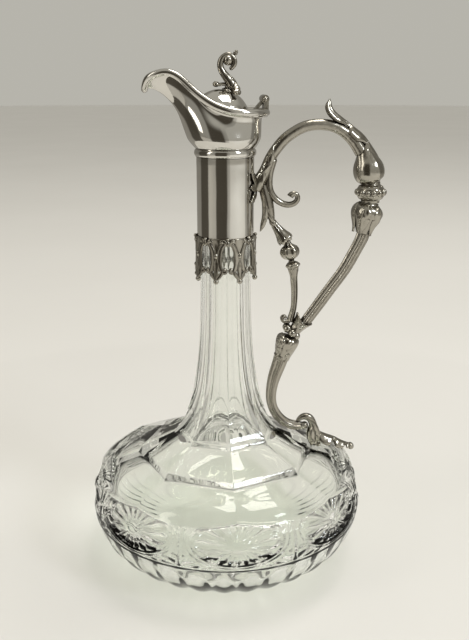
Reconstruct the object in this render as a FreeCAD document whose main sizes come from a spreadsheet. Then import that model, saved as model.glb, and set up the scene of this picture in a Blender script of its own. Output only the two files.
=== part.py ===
import FreeCAD, Part

import math
import os

import Sketcher
from FreeCAD import Placement, Rotation, Vector

# Claret jug: a cut glass body with a plated mount, a hinged lid and a scrolled handle.
# Millimetres, +Z up, origin at the middle of the flat foot, spout towards -X, handle towards +X.

# Driving sizes: lengths in millimetres, names ending in tilt or opening in degrees
SIZES = [
    # Glass, from the foot up; each rise is measured from the size before it
    ("foot_radius", 46.0),
    ("belly_radius", 82.5),
    ("belly_rise", 41.0),
    ("panel_inset", 10.5),
    ("panel_rise", 22.0),
    ("panel_tilt", 19.0),
    ("ridge_radius", 53.0),
    ("ridge_rise", 5.0),
    ("ridge_bevel_depth", 2.2),
    ("ridge_bevel_height", 3.4),
    ("shoulder_radius", 31.0),
    ("shoulder_rise", 12.3),
    ("shoulder_bevel_depth", 1.6),
    ("shoulder_bevel_height", 2.2),
    ("neck_radius", 14.2),
    ("neck_rise", 166.3),
    ("belly_wall", 5.0),
    ("neck_wall", 3.3),
    ("floor_thickness", 10.0),
    # Cutting of the glass; rise and drop are from the widest level
    ("dish_rise", 6.2),
    ("dish_half_width", 22.4),
    ("dish_half_height", 11.2),
    ("dish_depth", 1.6),
    ("groove_drop", 7.8),
    ("groove_depth", 2.2),
    ("groove_half_height", 2.6),
    ("scallop_radius", 17.0),
    ("scallop_depth", 1.9),
    # Sleeve, border and band; the sleeve hangs down from the band
    ("sleeve_radius", 16.15),
    ("sleeve_wall", 0.8),
    ("sleeve_length", 47.9),
    ("border_thickness", 1.35),
    ("border_height", 19.0),
    ("border_lap", 3.0),
    ("border_hole_width", 7.4),
    ("border_hole_height", 12.6),
    ("border_bead_radius", 1.0),
    ("border_gap", 0.1),
    ("drop_length", 5.5),
    ("drop_ball_radius", 1.45),
    ("band_bulge", 1.15),
    ("band_height", 4.8),
    ("band_lip", 2.2),
    ("band_bore_radius", 10.4),
    # Head and lip wire; reaches are from the axis, rises from the band
    ("head_base_radius", 16.9),
    ("head_wall", 1.2),
    ("spout_reach", 43.0),
    ("back_reach", 22.2),
    ("head_half_width", 18.8),
    ("rim_back_rise", 18.8),
    ("rim_peak_rise", 21.0),
    ("lip_wire_radius", 2.35),
    ("lip_wire_tip_radius", 1.6),
    # Hinge, above the back of the lip wire
    ("hinge_inset", 0.7),
    ("hinge_rise", 7.2),
    ("knuckle_radius", 2.25),
    ("knuckle_length", 4.0),
    ("side_knuckle_length", 2.7),
    ("knuckle_gap", 0.15),
    ("pin_radius", 0.8),
    ("pin_clearance", 0.05),
    ("pin_head_radius", 1.5),
    ("bracket_width", 2.6),
    ("strap_thickness", 1.7),
    # Lid and finial
    ("lid_rise", 2.0),
    ("lid_shift", 1.0),
    ("lid_tilt", 16.0),
    ("lid_plate", 1.0),
    ("lid_clearance", 0.6),
    ("lid_reach", 17.4),
    ("lid_tongue", 4.6),
    ("dome_radius", 14.4),
    ("dome_height", 10.1),
    ("dome_wall", 0.9),
    ("lid_bead_radius", 0.7),
    ("finial_height", 20.0),
    ("finial_stem_radius", 2.5),
    ("finial_ball_radius", 2.4),
    ("finial_base_radius", 3.5),
    ("finial_base_height", 2.0),
    ("finial_bud_radius", 1.2),
    ("finial_leaf_radius", 1.4),
    ("stud_radius", 1.0),
    ("stud_clearance", 0.1),
    ("nut_radius", 2.8),
    ("nut_thickness", 1.6),
    # Handle; drops and rises are from the root on the sleeve, reaches from the face of the sleeve
    ("root_drop", 17.4),
    ("lug_thickness", 1.2),
    ("lug_half_width", 10.5),
    ("lug_half_height", 8.5),
    ("arch_radius", 3.1),
    ("grip_reach", 67.25),
    ("ring_knop_drop", 3.4),
    ("ring_knop_radius", 8.0),
    ("ring_knop_length", 11.8),
    ("knop_bead_radius", 1.4),
    ("upper_knop_radius", 8.8),
    ("upper_knop_length", 18.6),
    ("upper_knop_tilt", 15.0),
    ("lower_knop_radius", 8.9),
    ("lower_knop_length", 19.0),
    ("arch_leaf_half_width", 6.0),
    ("arch_leaf_half_thickness", 1.8),
    ("curl_radius", 1.7),
    ("curl_ball_radius", 2.0),
    ("branch_radius", 2.6),
    ("bell_radius", 4.0),
    ("drop_knop_radius", 5.8),
    ("drop_knop_length", 11.4),
    ("drop_stem_radius", 2.0),
    ("drop_collar_radius", 4.5),
    ("drop_collar_length", 5.0),
    ("grip_radius", 3.9),
    ("flute_depth", 0.5),
    ("junction_reach", 23.5),
    ("junction_drop", 86.0),
    ("cuff_radius", 5.4),
    ("cuff_length", 8.5),
    ("bead_ring_radius", 4.0),
    ("bead_radius", 2.5),
    ("cup_radius", 6.8),
    ("cup_length", 14.7),
    ("foot_stem_radius", 4.6),
    ("foot_ball_radius", 2.2),
    ("scroll_radius", 3.5),
    ("scroll_height", 17.0),
    ("foot_leaf_half_width", 6.0),
    ("foot_leaf_half_thickness", 1.9),
    # How far a cutting solid runs past what it cuts
    ("overrun", 2.0),
]

# Outlines, as shares of the sizes that they follow
FOOT_SHARES = [(0, 0), (0.16, 0.04), (0.52, 0.2), (0.77, 0.39), (0.92, 0.61), (0.985, 0.83), (1, 1)]
SHOULDER_SHARES = [(0.03, 0.18), (0.19, 0.45), (0.52, 0.75), (1, 1)]
BEVEL_SHARES = [-0.5, 0.5]
PANEL_SHARES = [0.3, 0.75]
NECK_SHARES = [(0.58, 0.073), (0.27, 0.19), (0.09, 0.34), (0.015, 0.545), (0, 1)]
BAND_SHARES = [(0, 0), (0.75, 0.1), (1, 0.35), (1, 0.65), (0.75, 0.9), (0, 1)]
RIM_SHARES = [
    (1.0, 0.0, 0.0), (0.913, 0.452, 0.0), (0.648, 0.81, 0.0), (0.297, 0.99, 0.02),
    (-0.057, 1.0, 0.114), (-0.25, 0.9, 0.303), (-0.42, 0.755, 0.573), (-0.568, 0.633, 0.848),
    (-0.716, 0.543, 0.995), (-0.852, 0.457, 0.953), (-0.955, 0.298, 0.782), (-1.0, 0.0, 0.583),
]
WALL_SHARES = [0, 0.15, 0.32, 0.5, 0.68, 0.85, 1]
DOME_SHARES = [(1, 0), (0.985, 0.2), (0.83, 0.5), (0.56, 0.8), (0.29, 0.95), (0, 1)]
FINIAL_BASE_SHARES = [(1, -0.9), (1, 0.1), (0.75, 0.35), (0.62, 0.6), (0.8, 0.85), (0.7, 1)]
FINIAL_SHARES = [
    (0.09, 0.03), (0.095, 0.1), (0.03, 0.22), (-0.1, 0.375), (-0.21, 0.55), (-0.225, 0.725),
    (-0.14, 0.865), (0, 0.915), (0.13, 0.84), (0.16, 0.7), (0.09, 0.6),
]
FINIAL_RADIUS_SHARES = [0.85, 1.05, 1, 0.75, 0.62, 0.58, 0.55, 0.5, 0.45, 0.38, 0.3]
FINIAL_BALL_SHARES = (0, 0.79)
BUD_SHARES = [(0.1, 0.86), (0.15, 0.92), (0.2, 0.99)]
BUD_RADIUS_SHARES = [0.6, 0.55, 0.9]
FINIAL_LEAF_SHARES = [(0.02, 0.14), (-0.15, 0.17), (-0.3, 0.17), (-0.4, 0.2)]
FINIAL_LEAF_RADIUS_SHARES = [0.9, 0.8, 1, 0.6]
ARCH_SHARES = [
    (0, -0.007), (0.054, 0.067), (0.094, 0.138), (0.13, 0.2275), (0.19, 0.321), (0.255, 0.3955),
    (0.331, 0.4506), (0.405, 0.489), (0.502, 0.51), (0.5955, 0.5086), (0.685, 0.4877),
    (0.7695, 0.4387), (0.838, 0.3747),
]
ARCH_RADIUS_SHARES = [1.35, 1.2, 1.05, 1, 1, 1, 1, 1, 1, 1, 1, 1.02, 1.05, 1.1]
ARCH_LEAF_SHARES = [
    (0.622, 0.714), (0.627, 0.647), (0.676, 0.58), (0.774, 0.501), (0.86, 0.436), (0.932, 0.363),
    (0.9985, 0.293), (1.046, 0.223), (1.076, 0.149),
]
ARCH_LEAF_WIDTH_SHARES = [0.12, 0.45, 0.75, 0.92, 1, 0.92, 0.75, 0.55, 0.15]
ARCH_LEAF_THICKNESS_SHARES = [0.4, 0.8, 1, 1, 1, 1, 1, 0.9, 0.5]
UPPER_KNOP_SHARES = [
    (0.6, -0.1), (0.8, 0.09), (0.98, 0.28), (1, 0.47), (0.93, 0.68), (0.68, 0.88), (0.35, 1),
]
LOWER_KNOP_SHARES = [
    (0.54, 0), (0.62, 0.1), (0.95, 0.26), (1, 0.4), (0.88, 0.62), (0.66, 0.84), (0.5, 1),
]
RING_KNOP_SHARES = [(0.6, -0.5), (0.62, -0.36), (0.95, -0.22), (0.95, 0.22), (0.62, 0.36), (0.6, 0.5)]
CURL_SHARES = [
    (0.161, 0.223), (0.13, 0.128), (0.124, 0.033), (0.148, -0.062), (0.2015, -0.12),
    (0.288, -0.15), (0.346, -0.141), (0.384, -0.104), (0.375, -0.0565), (0.337, -0.0506),
]
CURL_RADIUS_SHARES = [1.5, 1.3, 1.1, 1, 1, 1, 1, 0.95, 0.9, 0.85]
BRANCH_SHARES = [(0.078, -0.007), (0.099, -0.119), (0.13, -0.223), (0.151, -0.278)]
BRANCH_RADIUS_SHARES = [1, 1, 0.95, 0.7]
BRANCH_LEAF_SHARES = [(0.125, -0.2), (0.1, -0.28), (0.063, -0.373)]
BRANCH_LEAF_RADIUS_SHARES = [0.8, 0.6, 0.2]
BELL_FOOT_SHARES = (0.151, -0.278)
BELL_MOUTH_SHARES = (0.295, -0.458)
BELL_SHARES = [(0.42, 0), (0.5, 0.3), (0.62, 0.55), (0.85, 0.8), (1, 1)]
DROP_KNOP_FOOT_SHARES = (0.334, -0.646)
DROP_KNOP_SHARES = [(0.3, 0), (0.32, 0.16), (0.72, 0.32), (1, 0.6), (0.78, 0.9), (0.36, 1)]
DROP_STEM_SHARES = [(0, 0), (0.17, 0.02), (0.45, 0.035), (0.7, 0.03), (1, 0)]
DROP_STEM_RADIUS_SHARES = [1.1, 1.1, 0.98, 0.92, 1.1]
DROP_COLLAR_SHARES = [(0.45, -0.5), (1, -0.1), (1, 0.02), (0.55, 0.25), (0.45, 0.5)]
DROP_COLLAR_PLACE_SHARE = 0.075
GRIP_SHARES = [(0, 0), (0.2, 0.028), (0.387, 0.038), (0.582, 0.024), (0.785, 0.012), (1, 0)]
GRIP_RADIUS_SHARES = [1, 0.98, 0.95, 0.93, 0.92, 0.9]
GRIP_FLUTES = 8
CUFF_SHARES = [(0.92, 0.98), (0.7, 0.62), (0.44, 0.24), (0.12, -0.14), (-0.16, -0.36)]
CUFF_RADIUS_SHARES = [1, 0.92, 0.74, 0.7, 0.7]
BEAD_RING_SHARES = (-0.05, 0.02)
BEAD_AXIS_SHARES = (0.66, 0.75)
STEM_END_SHARES = (-0.15, 0.35)
CUP_TOP_SHARES = (-0.2, -0.3)
CUP_AXIS_SHARES = (-0.3, -0.954)
CUP_SHARES = [(0.5, 0), (0.9, 0.06), (1, 0.2), (0.94, 0.5), (0.8, 0.8), (0.68, 1)]
FOOT_STEM_SHARES = [
    (0, 0), (0.2, -0.149), (0.357, -0.24), (0.516, -0.292), (0.68, -0.294), (0.81, -0.25),
    (0.918, -0.17), (1, -0.03),
]
FOOT_STEM_RADIUS_SHARES = [1.05, 0.93, 0.83, 0.73, 0.72, 0.7, 0.68, 0.65]
FOOT_BALL_SHARES = (-0.27, 0.7)
SCROLL_SHARES = [
    (-0.47, 0.93), (-0.26, 1), (-0.07, 0.89), (0.02, 0.68), (0.08, 0.38), (0.15, 0.15), (0.13, -0.2),
]
SCROLL_RADIUS_SHARES = [0.45, 0.65, 0.85, 0.95, 1.05, 0.95, 0.7]
FOOT_LEAF_SHARES = [
    (0.115, 0.26), (0.242, 0.27), (0.357, 0.1), (0.496, -0.03), (0.651, -0.13), (0.807, -0.2),
    (0.893, -0.27),
]
FOOT_LEAF_WIDTH_SHARES = [0.4, 0.7, 1, 0.95, 1, 0.7, 0.2]
FOOT_LEAF_THICKNESS_SHARES = [0.8, 1, 1, 1, 1, 0.8, 0.4]

SIDES = 8
SCALLOPS = 32
SCALLOP_PLACE = 3
HALF_SIDE = math.pi / SIDES
APOTHEM_SHARE = math.cos(HALF_SIDE)
RING_POINTS = 12
FLUTE_POINTS = 4
KNOP_BEADS = 14
JUNCTION_BEADS = 6
FULL_TURN = 360.0
WALL_STEP = 0.02
HALVINGS = 24
STEEPEST_SHARE = 0.35
SEAT_SHARE = 0.8
SEAM_SHARE = 0.75
FLARE_SHARES = (0.12, 0.9, 0.75, 0.95, 0.75)
STUD_SHARE = 1.3
SOCKET_SHARE = 0.98
GRIP_TOP_SHARE = 0.97
GRIP_END_SHARE = 0.7
TONGUE_SHARPNESS = 6

UP = Vector(0, 0, 1)
ACROSS = Vector(0, 1, 0)
ALONG = Vector(1, 0, 0)
ORIGIN = Vector(0, 0, 0)


class Sizes:
    """Reads a size from the sheet as a plain number."""

    def __init__(self, table):
        self.table = table

    def __getattr__(self, name):
        return float(self.table.get(name))


class Measure:
    """A number together with the sheet expression that gives it."""

    def __init__(self, number, text):
        self.number = number
        self.text = text

    def __add__(self, other):
        return Measure(self.number + other.number, f"({self.text} + {other.text})")

    def __sub__(self, other):
        return Measure(self.number - other.number, f"({self.text} - {other.text})")

    def __mul__(self, share):
        return Measure(self.number * share, f"({self.text} * {share})")


doc = FreeCAD.newDocument("claret_jug")
sheet = doc.addObject("Spreadsheet::Sheet", "sizes")
for row, (alias, value) in enumerate(SIZES, start=1):
    sheet.set(f"A{row}", alias)
    sheet.set(f"B{row}", str(value))
    sheet.setAlias(f"B{row}", alias)
doc.recompute()
S = Sizes(sheet)
pieces = []


def cell(alias):
    """One cell of the sheet as a measure."""
    return Measure(getattr(S, alias), f"sizes.{alias}")


# Curves and solids

def spline(points, closed=False):
    """Smooth edge through the points."""
    curve = Part.BSplineCurve()
    curve.interpolate(points, PeriodicFlag=closed)
    return curve


def polar(reach, angle, height):
    return Vector(reach * math.cos(angle), reach * math.sin(angle), height)


def ring(centre, side, lift, half_width, half_thickness, lobes=0, depth=0.0):
    """Closed oval wire in the plane of side and lift, hollowed between lobes if asked."""
    count = max(RING_POINTS, lobes * FLUTE_POINTS)
    points = []
    for index in range(count):
        angle = 2 * math.pi * index / count
        hollow = depth * (1 - math.cos(lobes * angle)) / 2
        sideways = side * ((half_width - hollow) * math.cos(angle))
        points.append(centre + sideways + lift * ((half_thickness - hollow) * math.sin(angle)))
    return Part.Wire([spline(points, True).toShape()])


def tube(points, half_widths, half_thicknesses=None, lobes=0, depth=0.0):
    """Solid along a smooth path square to Y, with one width and thickness for each point."""
    thicknesses = half_thicknesses or half_widths
    path = spline(points)
    rings = []
    last = None
    for index, point in enumerate(points):
        place = path.parameter(point)
        if last is not None:
            width = (half_widths[index] + half_widths[index - 1]) / 2
            thickness = (thicknesses[index] + thicknesses[index - 1]) / 2
            rings.append(path_ring(path, (place + last) / 2, width, thickness, lobes, depth))
        rings.append(path_ring(path, place, half_widths[index], thicknesses[index], lobes, depth))
        last = place
    return Part.makeLoft(rings, True, False)


def path_ring(path, place, half_width, half_thickness, lobes, depth):
    """Ring square to a path that lies in a plane square to Y."""
    tangent = Vector(*path.tangent(place)[0])
    lift = tangent.cross(ACROSS)
    return ring(path.value(place), ACROSS, lift, half_width, half_thickness, lobes, depth)


def turned(shares, radius, length, base, direction, smooth=True):
    """Solid of revolution of an outline given in shares of radius and length."""
    place = Placement(base, Rotation(UP, direction))
    rim = [place.multVec(Vector(out * radius, 0, up * length)) for out, up in shares]
    foot = place.multVec(UP * (shares[0][1] * length))
    top = place.multVec(UP * (shares[-1][1] * length))
    edges = [Part.makeLine(foot, rim[0])]
    if smooth:
        edges.append(spline(rim).toShape())
    else:
        edges.extend(Part.makePolygon(rim).Edges)
    if shares[-1][0]:
        edges.append(Part.makeLine(rim[-1], top))
    edges.append(Part.makeLine(top, foot))
    return Part.Face(Part.Wire(edges)).revolve(base, direction, FULL_TURN)


def along_chord(start, end, shares):
    """Points at shares of the chord along it and to its left, seen from -Y."""
    chord = end - start
    left = Vector(-chord.z, 0, chord.x)
    return [start + chord * share + left * off for share, off in shares]


def scaled(shares, size):
    return [share * size for share in shares]


def ball(centre, radius):
    return Part.makeSphere(radius, centre)


def rod(start, end, radius):
    return Part.makeCylinder(radius, (end - start).Length, start, end - start)


def largest(shape):
    """The main solid of a shape, without the slivers of a cut."""
    return max(shape.Solids, key=lambda solid: solid.Volume).copy()


def trimmed(shape, *others):
    """The shape where none of the others is."""
    for other in others:
        shape = shape.cut(other)
    return largest(shape)


def keep(name, shape):
    """Adds a piece whose shape is worked out here and returns the shape."""
    feature = doc.addObject("Part::Feature", name)
    feature.Shape = shape
    feature.Label = name
    feature.Placement = Placement(ORIGIN, Rotation())
    pieces.append(feature)
    return feature.Shape


# Bodies turned about Z from a sketch that follows the sheet

def origin_feature(body, role):
    return next(part for part in body.Origin.OriginFeatures if part.Role == role)


def lathe_body(name, outline):
    """Body turned about Z from a closed outline of (radius, height) measures."""
    body = doc.addObject("PartDesign::Body", name)
    body.Label = name
    sketch = body.newObject("Sketcher::SketchObject", name + "_outline")
    sketch.AttachmentSupport = [(origin_feature(body, "XZ_Plane"), "")]
    sketch.MapMode = "FlatFace"
    corners = [Vector(reach.number, height.number, 0) for reach, height in outline]
    count = len(corners)
    for index in range(count):
        sketch.addGeometry(Part.LineSegment(corners[index], corners[(index + 1) % count]), False)
    for index in range(count):
        sketch.addConstraint(Sketcher.Constraint("Coincident", index, 2, (index + 1) % count, 1))
    for index, (reach, height) in enumerate(outline):
        bind(sketch, "DistanceX", index, reach)
        bind(sketch, "DistanceY", index, height)
    turn = body.newObject("PartDesign::Revolution", name + "_turned")
    turn.Profile = sketch
    turn.ReferenceAxis = (sketch, ["V_Axis"])
    turn.Angle = FULL_TURN
    sketch.Visibility = False
    pieces.append(body)
    return body


def bind(sketch, kind, index, measure):
    """Ties one coordinate of a corner to its expression."""
    number = sketch.addConstraint(Sketcher.Constraint(kind, -1, 1, index, 1, measure.number))
    sketch.setExpression(f"Constraints[{number}]", measure.text)


# Heights that several pieces share
panel_height = S.belly_rise + S.panel_rise
panel_radius = S.belly_radius - S.panel_inset
ridge_height = panel_height + S.ridge_rise
shoulder_height = ridge_height + S.shoulder_rise
glass_height = shoulder_height + S.neck_rise
sleeve_top = glass_height - S.band_lip
sleeve_low = sleeve_top - S.sleeve_length
head_low = sleeve_top + S.band_height
rim_height = head_low + S.rim_back_rise
ridge_corner = Vector(S.ridge_radius, 0, ridge_height)


# Glass body

def inward(point, run, depth):
    """Point moved square to the outline, into the glass."""
    run.normalize()
    return point + Vector(-run.z, 0, run.x) * depth


def revolved(points, *corners):
    """Solid of revolution of a smooth outline that is closed by straight lines over the corners."""
    curve = spline(points)
    edges = []
    for start, end in zip(points, points[1:]):
        edges.append(curve.toShape(curve.parameter(start), curve.parameter(end)))
    straight = [points[-1], *corners, points[0]]
    for start, end in zip(straight, straight[1:]):
        edges.append(Part.makeLine(start, end))
    return Part.Face(Part.Wire(edges)).revolve(ORIGIN, UP, FULL_TURN)


def belly_outline():
    """Round outline from the foot to the panels."""
    points = []
    for out, up in FOOT_SHARES:
        reach = S.foot_radius + out * (S.belly_radius - S.foot_radius)
        points.append(Vector(reach, 0, up * S.belly_rise))
    for out, up in SHOULDER_SHARES:
        points.append(Vector(S.belly_radius - out * S.panel_inset, 0, S.belly_rise + up * S.panel_rise))
    return points


def belly_block(depth):
    """Round belly drawn in by the depth, carried straight up past the top of the glass."""
    outline = belly_outline()
    curve = spline(outline)
    points = []
    for point in outline:
        points.append(inward(point, Vector(*curve.tangent(curve.parameter(point))[0]), depth))
    above = glass_height + S.overrun
    return revolved(points, Vector(points[-1].x, 0, above), UP * above, UP * points[0].z)


def facet_outline():
    """Corners of the eight sided block, from below the belly to the top of the neck."""
    rim = S.belly_radius / APOTHEM_SHARE + S.overrun
    points = []
    for share in BEVEL_SHARES:
        reach = S.ridge_radius - share * S.ridge_bevel_depth
        points.append(Vector(reach, 0, ridge_height + share * S.ridge_bevel_height))
    for share in BEVEL_SHARES:
        reach = S.shoulder_radius - share * S.shoulder_bevel_depth
        points.append(Vector(reach, 0, shoulder_height + share * S.shoulder_bevel_height))
    for out, up in NECK_SHARES:
        reach = S.neck_radius + out * (S.shoulder_radius - S.neck_radius)
        points.append(Vector(reach, 0, shoulder_height + up * S.neck_rise))
    fall = (rim - points[0].x) * APOTHEM_SHARE * math.tan(math.radians(S.panel_tilt))
    return [Vector(rim, 0, 0), Vector(rim, 0, points[0].z - fall)] + points


def octagon(corner):
    """Eight sided wire with one corner there."""
    points = []
    for side in range(SIDES + 1):
        points.append(polar(corner.x, 2 * side * HALF_SIDE, corner.z))
    return Part.makePolygon(points)


def glass_cavity():
    """Space inside the glass: the outline over the flat sides drawn in by the wall."""
    flats = [Vector(point.x * APOTHEM_SHARE, 0, point.z) for point in facet_outline()]
    rim, ridge = flats[1], (flats[2] + flats[3]) / 2
    outline = [point for point in belly_outline() if point.z < rim.z]
    for share in PANEL_SHARES:
        outline.append(rim + (flats[2] - rim) * share)
    outline = outline + [ridge, (flats[4] + flats[5]) / 2] + flats[6:]
    inner = [Vector(S.foot_radius, 0, S.floor_thickness)]
    for before, point, after in zip(outline, outline[1:], outline[2:]):
        share = max(0, point.z - ridge.z) / (glass_height - ridge.z)
        wall = S.belly_wall + share * (S.neck_wall - S.belly_wall)
        moved = inward(point, after - before, wall)
        if moved.z > S.floor_thickness + S.belly_wall:
            inner.append(moved)
    bore = S.neck_radius * APOTHEM_SHARE - S.neck_wall
    inner.append(Vector(bore, 0, glass_height))
    above = glass_height + S.overrun
    return revolved(inner, Vector(bore, 0, above), UP * above, UP * S.floor_thickness)


def dishes():
    """Eight shallow oval dishes round the belly, one below each corner of the panels."""
    floor = belly_block(S.dish_depth)
    cuts = []
    for side in range(SIDES):
        out = polar(1, 2 * side * HALF_SIDE, 0)
        start = UP * (S.belly_rise + S.dish_rise) + out * S.ridge_radius
        beside = start + UP.cross(out) * S.dish_half_width
        oval = Part.Ellipse(beside, start + UP * S.dish_half_height, start).toShape()
        cuts.append(trimmed(Part.Face(Part.Wire([oval])).extrude(out * S.belly_radius), floor))
    return cuts


def ring_groove():
    """Pointed groove round the belly under the dishes."""
    outside = S.belly_radius + S.overrun
    level = S.belly_rise - S.groove_drop
    low = Vector(outside, 0, level - S.groove_half_height)
    tip = Vector(S.belly_radius - S.groove_depth, 0, level)
    high = Vector(outside, 0, level + S.groove_half_height)
    return Part.Face(Part.makePolygon([low, high, tip, low])).revolve(ORIGIN, UP, FULL_TURN)


def scallops():
    """Round cutters that scallop the underside of the belly."""
    low, high = belly_outline()[SCALLOP_PLACE:SCALLOP_PLACE + 2]
    middle = inward((low + high) / 2, high - low, S.scallop_depth - S.scallop_radius)
    half = (high - low).normalize() * (S.belly_rise / 2)
    cutter = rod(middle - half, middle + half, S.scallop_radius)
    cuts = []
    for index in range(SCALLOPS):
        cut = cutter.copy()
        cut.rotate(ORIGIN, UP, index * FULL_TURN / SCALLOPS)
        cuts.append(cut)
    return cuts


facet_block = Part.makeLoft([octagon(corner) for corner in facet_outline()], True, True)
outer_glass = belly_block(0).common(facet_block)
outer_glass = outer_glass.cut(Part.makeCompound(dishes())).cut(ring_groove()).cut(scallops())
glass = keep("glass_body", largest(outer_glass.cut(glass_cavity())))

# Plaster bed between the sleeve and the eight sided neck
bed = Part.makeCylinder(S.sleeve_radius - S.sleeve_wall, S.sleeve_length, Vector(0, 0, sleeve_low))
keep("plaster_bed", largest(bed.cut(facet_block)))

# Sleeve and band, turned
sleeve_outer = cell("sleeve_radius")
sleeve_inner = sleeve_outer - cell("sleeve_wall")
lip_level = cell("belly_rise") + cell("panel_rise") + cell("ridge_rise")
lip_level = lip_level + cell("shoulder_rise") + cell("neck_rise")
top_level = lip_level - cell("band_lip")
low_level = top_level - cell("sleeve_length")
band_level = top_level + cell("band_height")
lathe_body("collar_sleeve", [
    (sleeve_inner, low_level),
    (sleeve_outer, low_level),
    (sleeve_outer, top_level),
    (sleeve_inner, top_level),
])
band_outline = [(sleeve_inner, top_level)]
for out, up in BAND_SHARES:
    band_outline.append((sleeve_outer + cell("band_bulge") * out, top_level + cell("band_height") * up))
band_outline.append((cell("band_bore_radius"), band_level))
band_outline.append((cell("band_bore_radius"), lip_level))
band_outline.append((sleeve_inner, lip_level))
lathe_body("neck_band", band_outline)


# Pierced border with ball drops

def border_shape():
    """Ring with eight keyhole openings, a bead over each and a drop between them."""
    low = sleeve_low + S.border_lap - S.border_height
    outer = S.sleeve_radius + S.border_thickness
    shape = Part.makeCylinder(outer, S.border_height, Vector(0, 0, low))
    shape.rotate(ORIGIN, UP, math.degrees(HALF_SIDE * SEAM_SHARE))
    middle = low + S.border_height / 2
    depth = outer + S.overrun
    cuts = [sleeve_block]
    extras = []
    for side in range(SIDES):
        angle = 2 * side * HALF_SIDE
        out = polar(1, angle, 0)
        sideways = UP.cross(out)
        start = UP * middle + out * (S.neck_radius / 2)
        crown = start + UP * (S.border_hole_height / 2)
        oval = Part.Ellipse(crown, start + sideways * (S.border_hole_width / 2), start).toShape()
        cuts.append(Part.Face(Part.Wire([oval])).extrude(out * depth))
        gate = Part.makeBox(depth, S.border_hole_width / 2, S.border_height / 2 + S.overrun)
        gate.Placement = Placement(
            start + UP * (low - S.overrun - middle) - sideways * (S.border_hole_width / 4),
            Rotation(UP, math.degrees(angle)),
        )
        cuts.append(gate)
        seat = S.sleeve_radius + S.border_gap
        bead = polar(seat + S.border_bead_radius, angle, low + S.border_height)
        extras.append(ball(bead, S.border_bead_radius))
        tip_height = low - S.drop_length + S.drop_ball_radius
        tip = polar(seat + S.drop_ball_radius, angle + HALF_SIDE, tip_height)
        extras.append(rod(tip, tip + UP * S.drop_length, S.drop_ball_radius / 2))
        extras.append(ball(tip, S.drop_ball_radius))
    for cut in cuts:
        shape = shape.cut(cut)
    for extra in extras:
        shape = shape.fuse(extra)
    return largest(shape)


sleeve_block = Part.makeCylinder(S.sleeve_radius, S.neck_rise, Vector(0, 0, shoulder_height))
sleeve_block.rotate(ORIGIN, UP, math.degrees(HALF_SIDE * SEAM_SHARE))
keep("gallery_border", border_shape())


# Spouted head and lip wire

def rim_points():
    """Centre line of the lip wire: the back, one side, the spout, the other side."""
    half = []
    for out, side, up in RIM_SHARES:
        reach = S.back_reach if out > 0 else S.spout_reach
        half.append(Vector(out * reach, side * S.head_half_width, rim_height + up * S.rim_peak_rise))
    return half + [Vector(point.x, -point.y, point.z) for point in half[-2:0:-1]]


def wall_point(index, level, rims):
    """Outer wall under one rim point, level 0 at the band and 1 at the wire."""
    rim = rims[index % len(rims)]
    angle = 2 * math.pi * index / len(rims)
    toward_spout = (1 - math.cos(angle)) / 2
    out = Vector(math.cos(angle), math.sin(angle), 0)
    base = out * S.head_base_radius + UP * head_low
    reach = (rim - base).Length
    lean, outward, upward, dip, pull = FLARE_SHARES
    leave = (out * lean + UP) * reach
    arrive = (out * outward + UP * (upward - dip * toward_spout)).normalize()
    wire = S.lip_wire_radius + toward_spout * (S.lip_wire_tip_radius - S.lip_wire_radius)
    end = rim - arrive * (wire * SEAT_SHARE)
    arrive = arrive * (reach * pull)
    square = level * level
    cube = square * level
    point = base * (2 * cube - 3 * square + 1) + leave * (cube - 2 * square + level)
    return point + end * (3 * square - 2 * cube) + arrive * (cube - square)


def wall_normal(index, level, rims):
    """Outward direction of the wall."""
    rise = wall_point(index, min(level + WALL_STEP, 1), rims)
    rise = rise - wall_point(index, max(level - WALL_STEP, 0), rims)
    turn = wall_point(index + 1, level, rims) - wall_point(index - 1, level, rims)
    return turn.cross(rise).normalize()


def head_shape():
    """Shell between an outer and an inner skin."""
    rims = rim_points()
    outer = []
    inner = []
    for level in WALL_SHARES:
        outside = [wall_point(index, level, rims) for index in range(len(rims))]
        inside = []
        for index, point in enumerate(outside):
            moved = point - wall_normal(index, level, rims) * S.head_wall
            if level == 0:
                moved.z = point.z
            inside.append(moved)
        outer.append(Part.Wire([spline(outside, True).toShape()]))
        inner.append(Part.Wire([spline(inside, True).toShape()]))
    faces = Part.makeLoft(outer, False, False).Faces + Part.makeLoft(inner, False, False).Faces
    faces.append(Part.makeRuledSurface(outer[0].Edges[0], inner[0].Edges[0]))
    faces.append(Part.makeRuledSurface(outer[-1].Edges[0], inner[-1].Edges[0]))
    skin = Part.makeCompound(faces)
    skin.sewShape()
    solid = Part.makeSolid(skin.Shells[0])
    if solid.Volume < 0:
        solid.reverse()
    return solid


def wire_shape():
    """Closed wire, thick at the back and slim round the spout, made as two mirrored halves."""
    rims = rim_points()
    half = len(rims) // 2
    path = spline(rims, True)
    rings = []
    for index in range(half + 1):
        tangent = Vector(*path.tangent(path.parameter(rims[index]))[0])
        if index in (0, half):
            tangent = ACROSS
        side = tangent.cross(UP).normalize()
        radius = S.lip_wire_radius + index / half * (S.lip_wire_tip_radius - S.lip_wire_radius)
        rings.append(ring(rims[index], side, side.cross(tangent), radius, radius))
    near = Part.makeLoft(rings, True, False)
    return near.fuse(near.mirror(ORIGIN, ACROSS))


wire = keep("lip_wire", wire_shape())
head = keep("spout_head", trimmed(head_shape(), wire))

# Hinge
hinge_centre = Vector(S.back_reach - S.hinge_inset, 0, rim_height + S.hinge_rise)
lid_half = S.knuckle_length / 2
side_start = lid_half + S.knuckle_gap
side_end = side_start + S.side_knuckle_length


def barrel(radius, start, end):
    return rod(hinge_centre + ACROSS * start, hinge_centre + ACROSS * end, radius)


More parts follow.
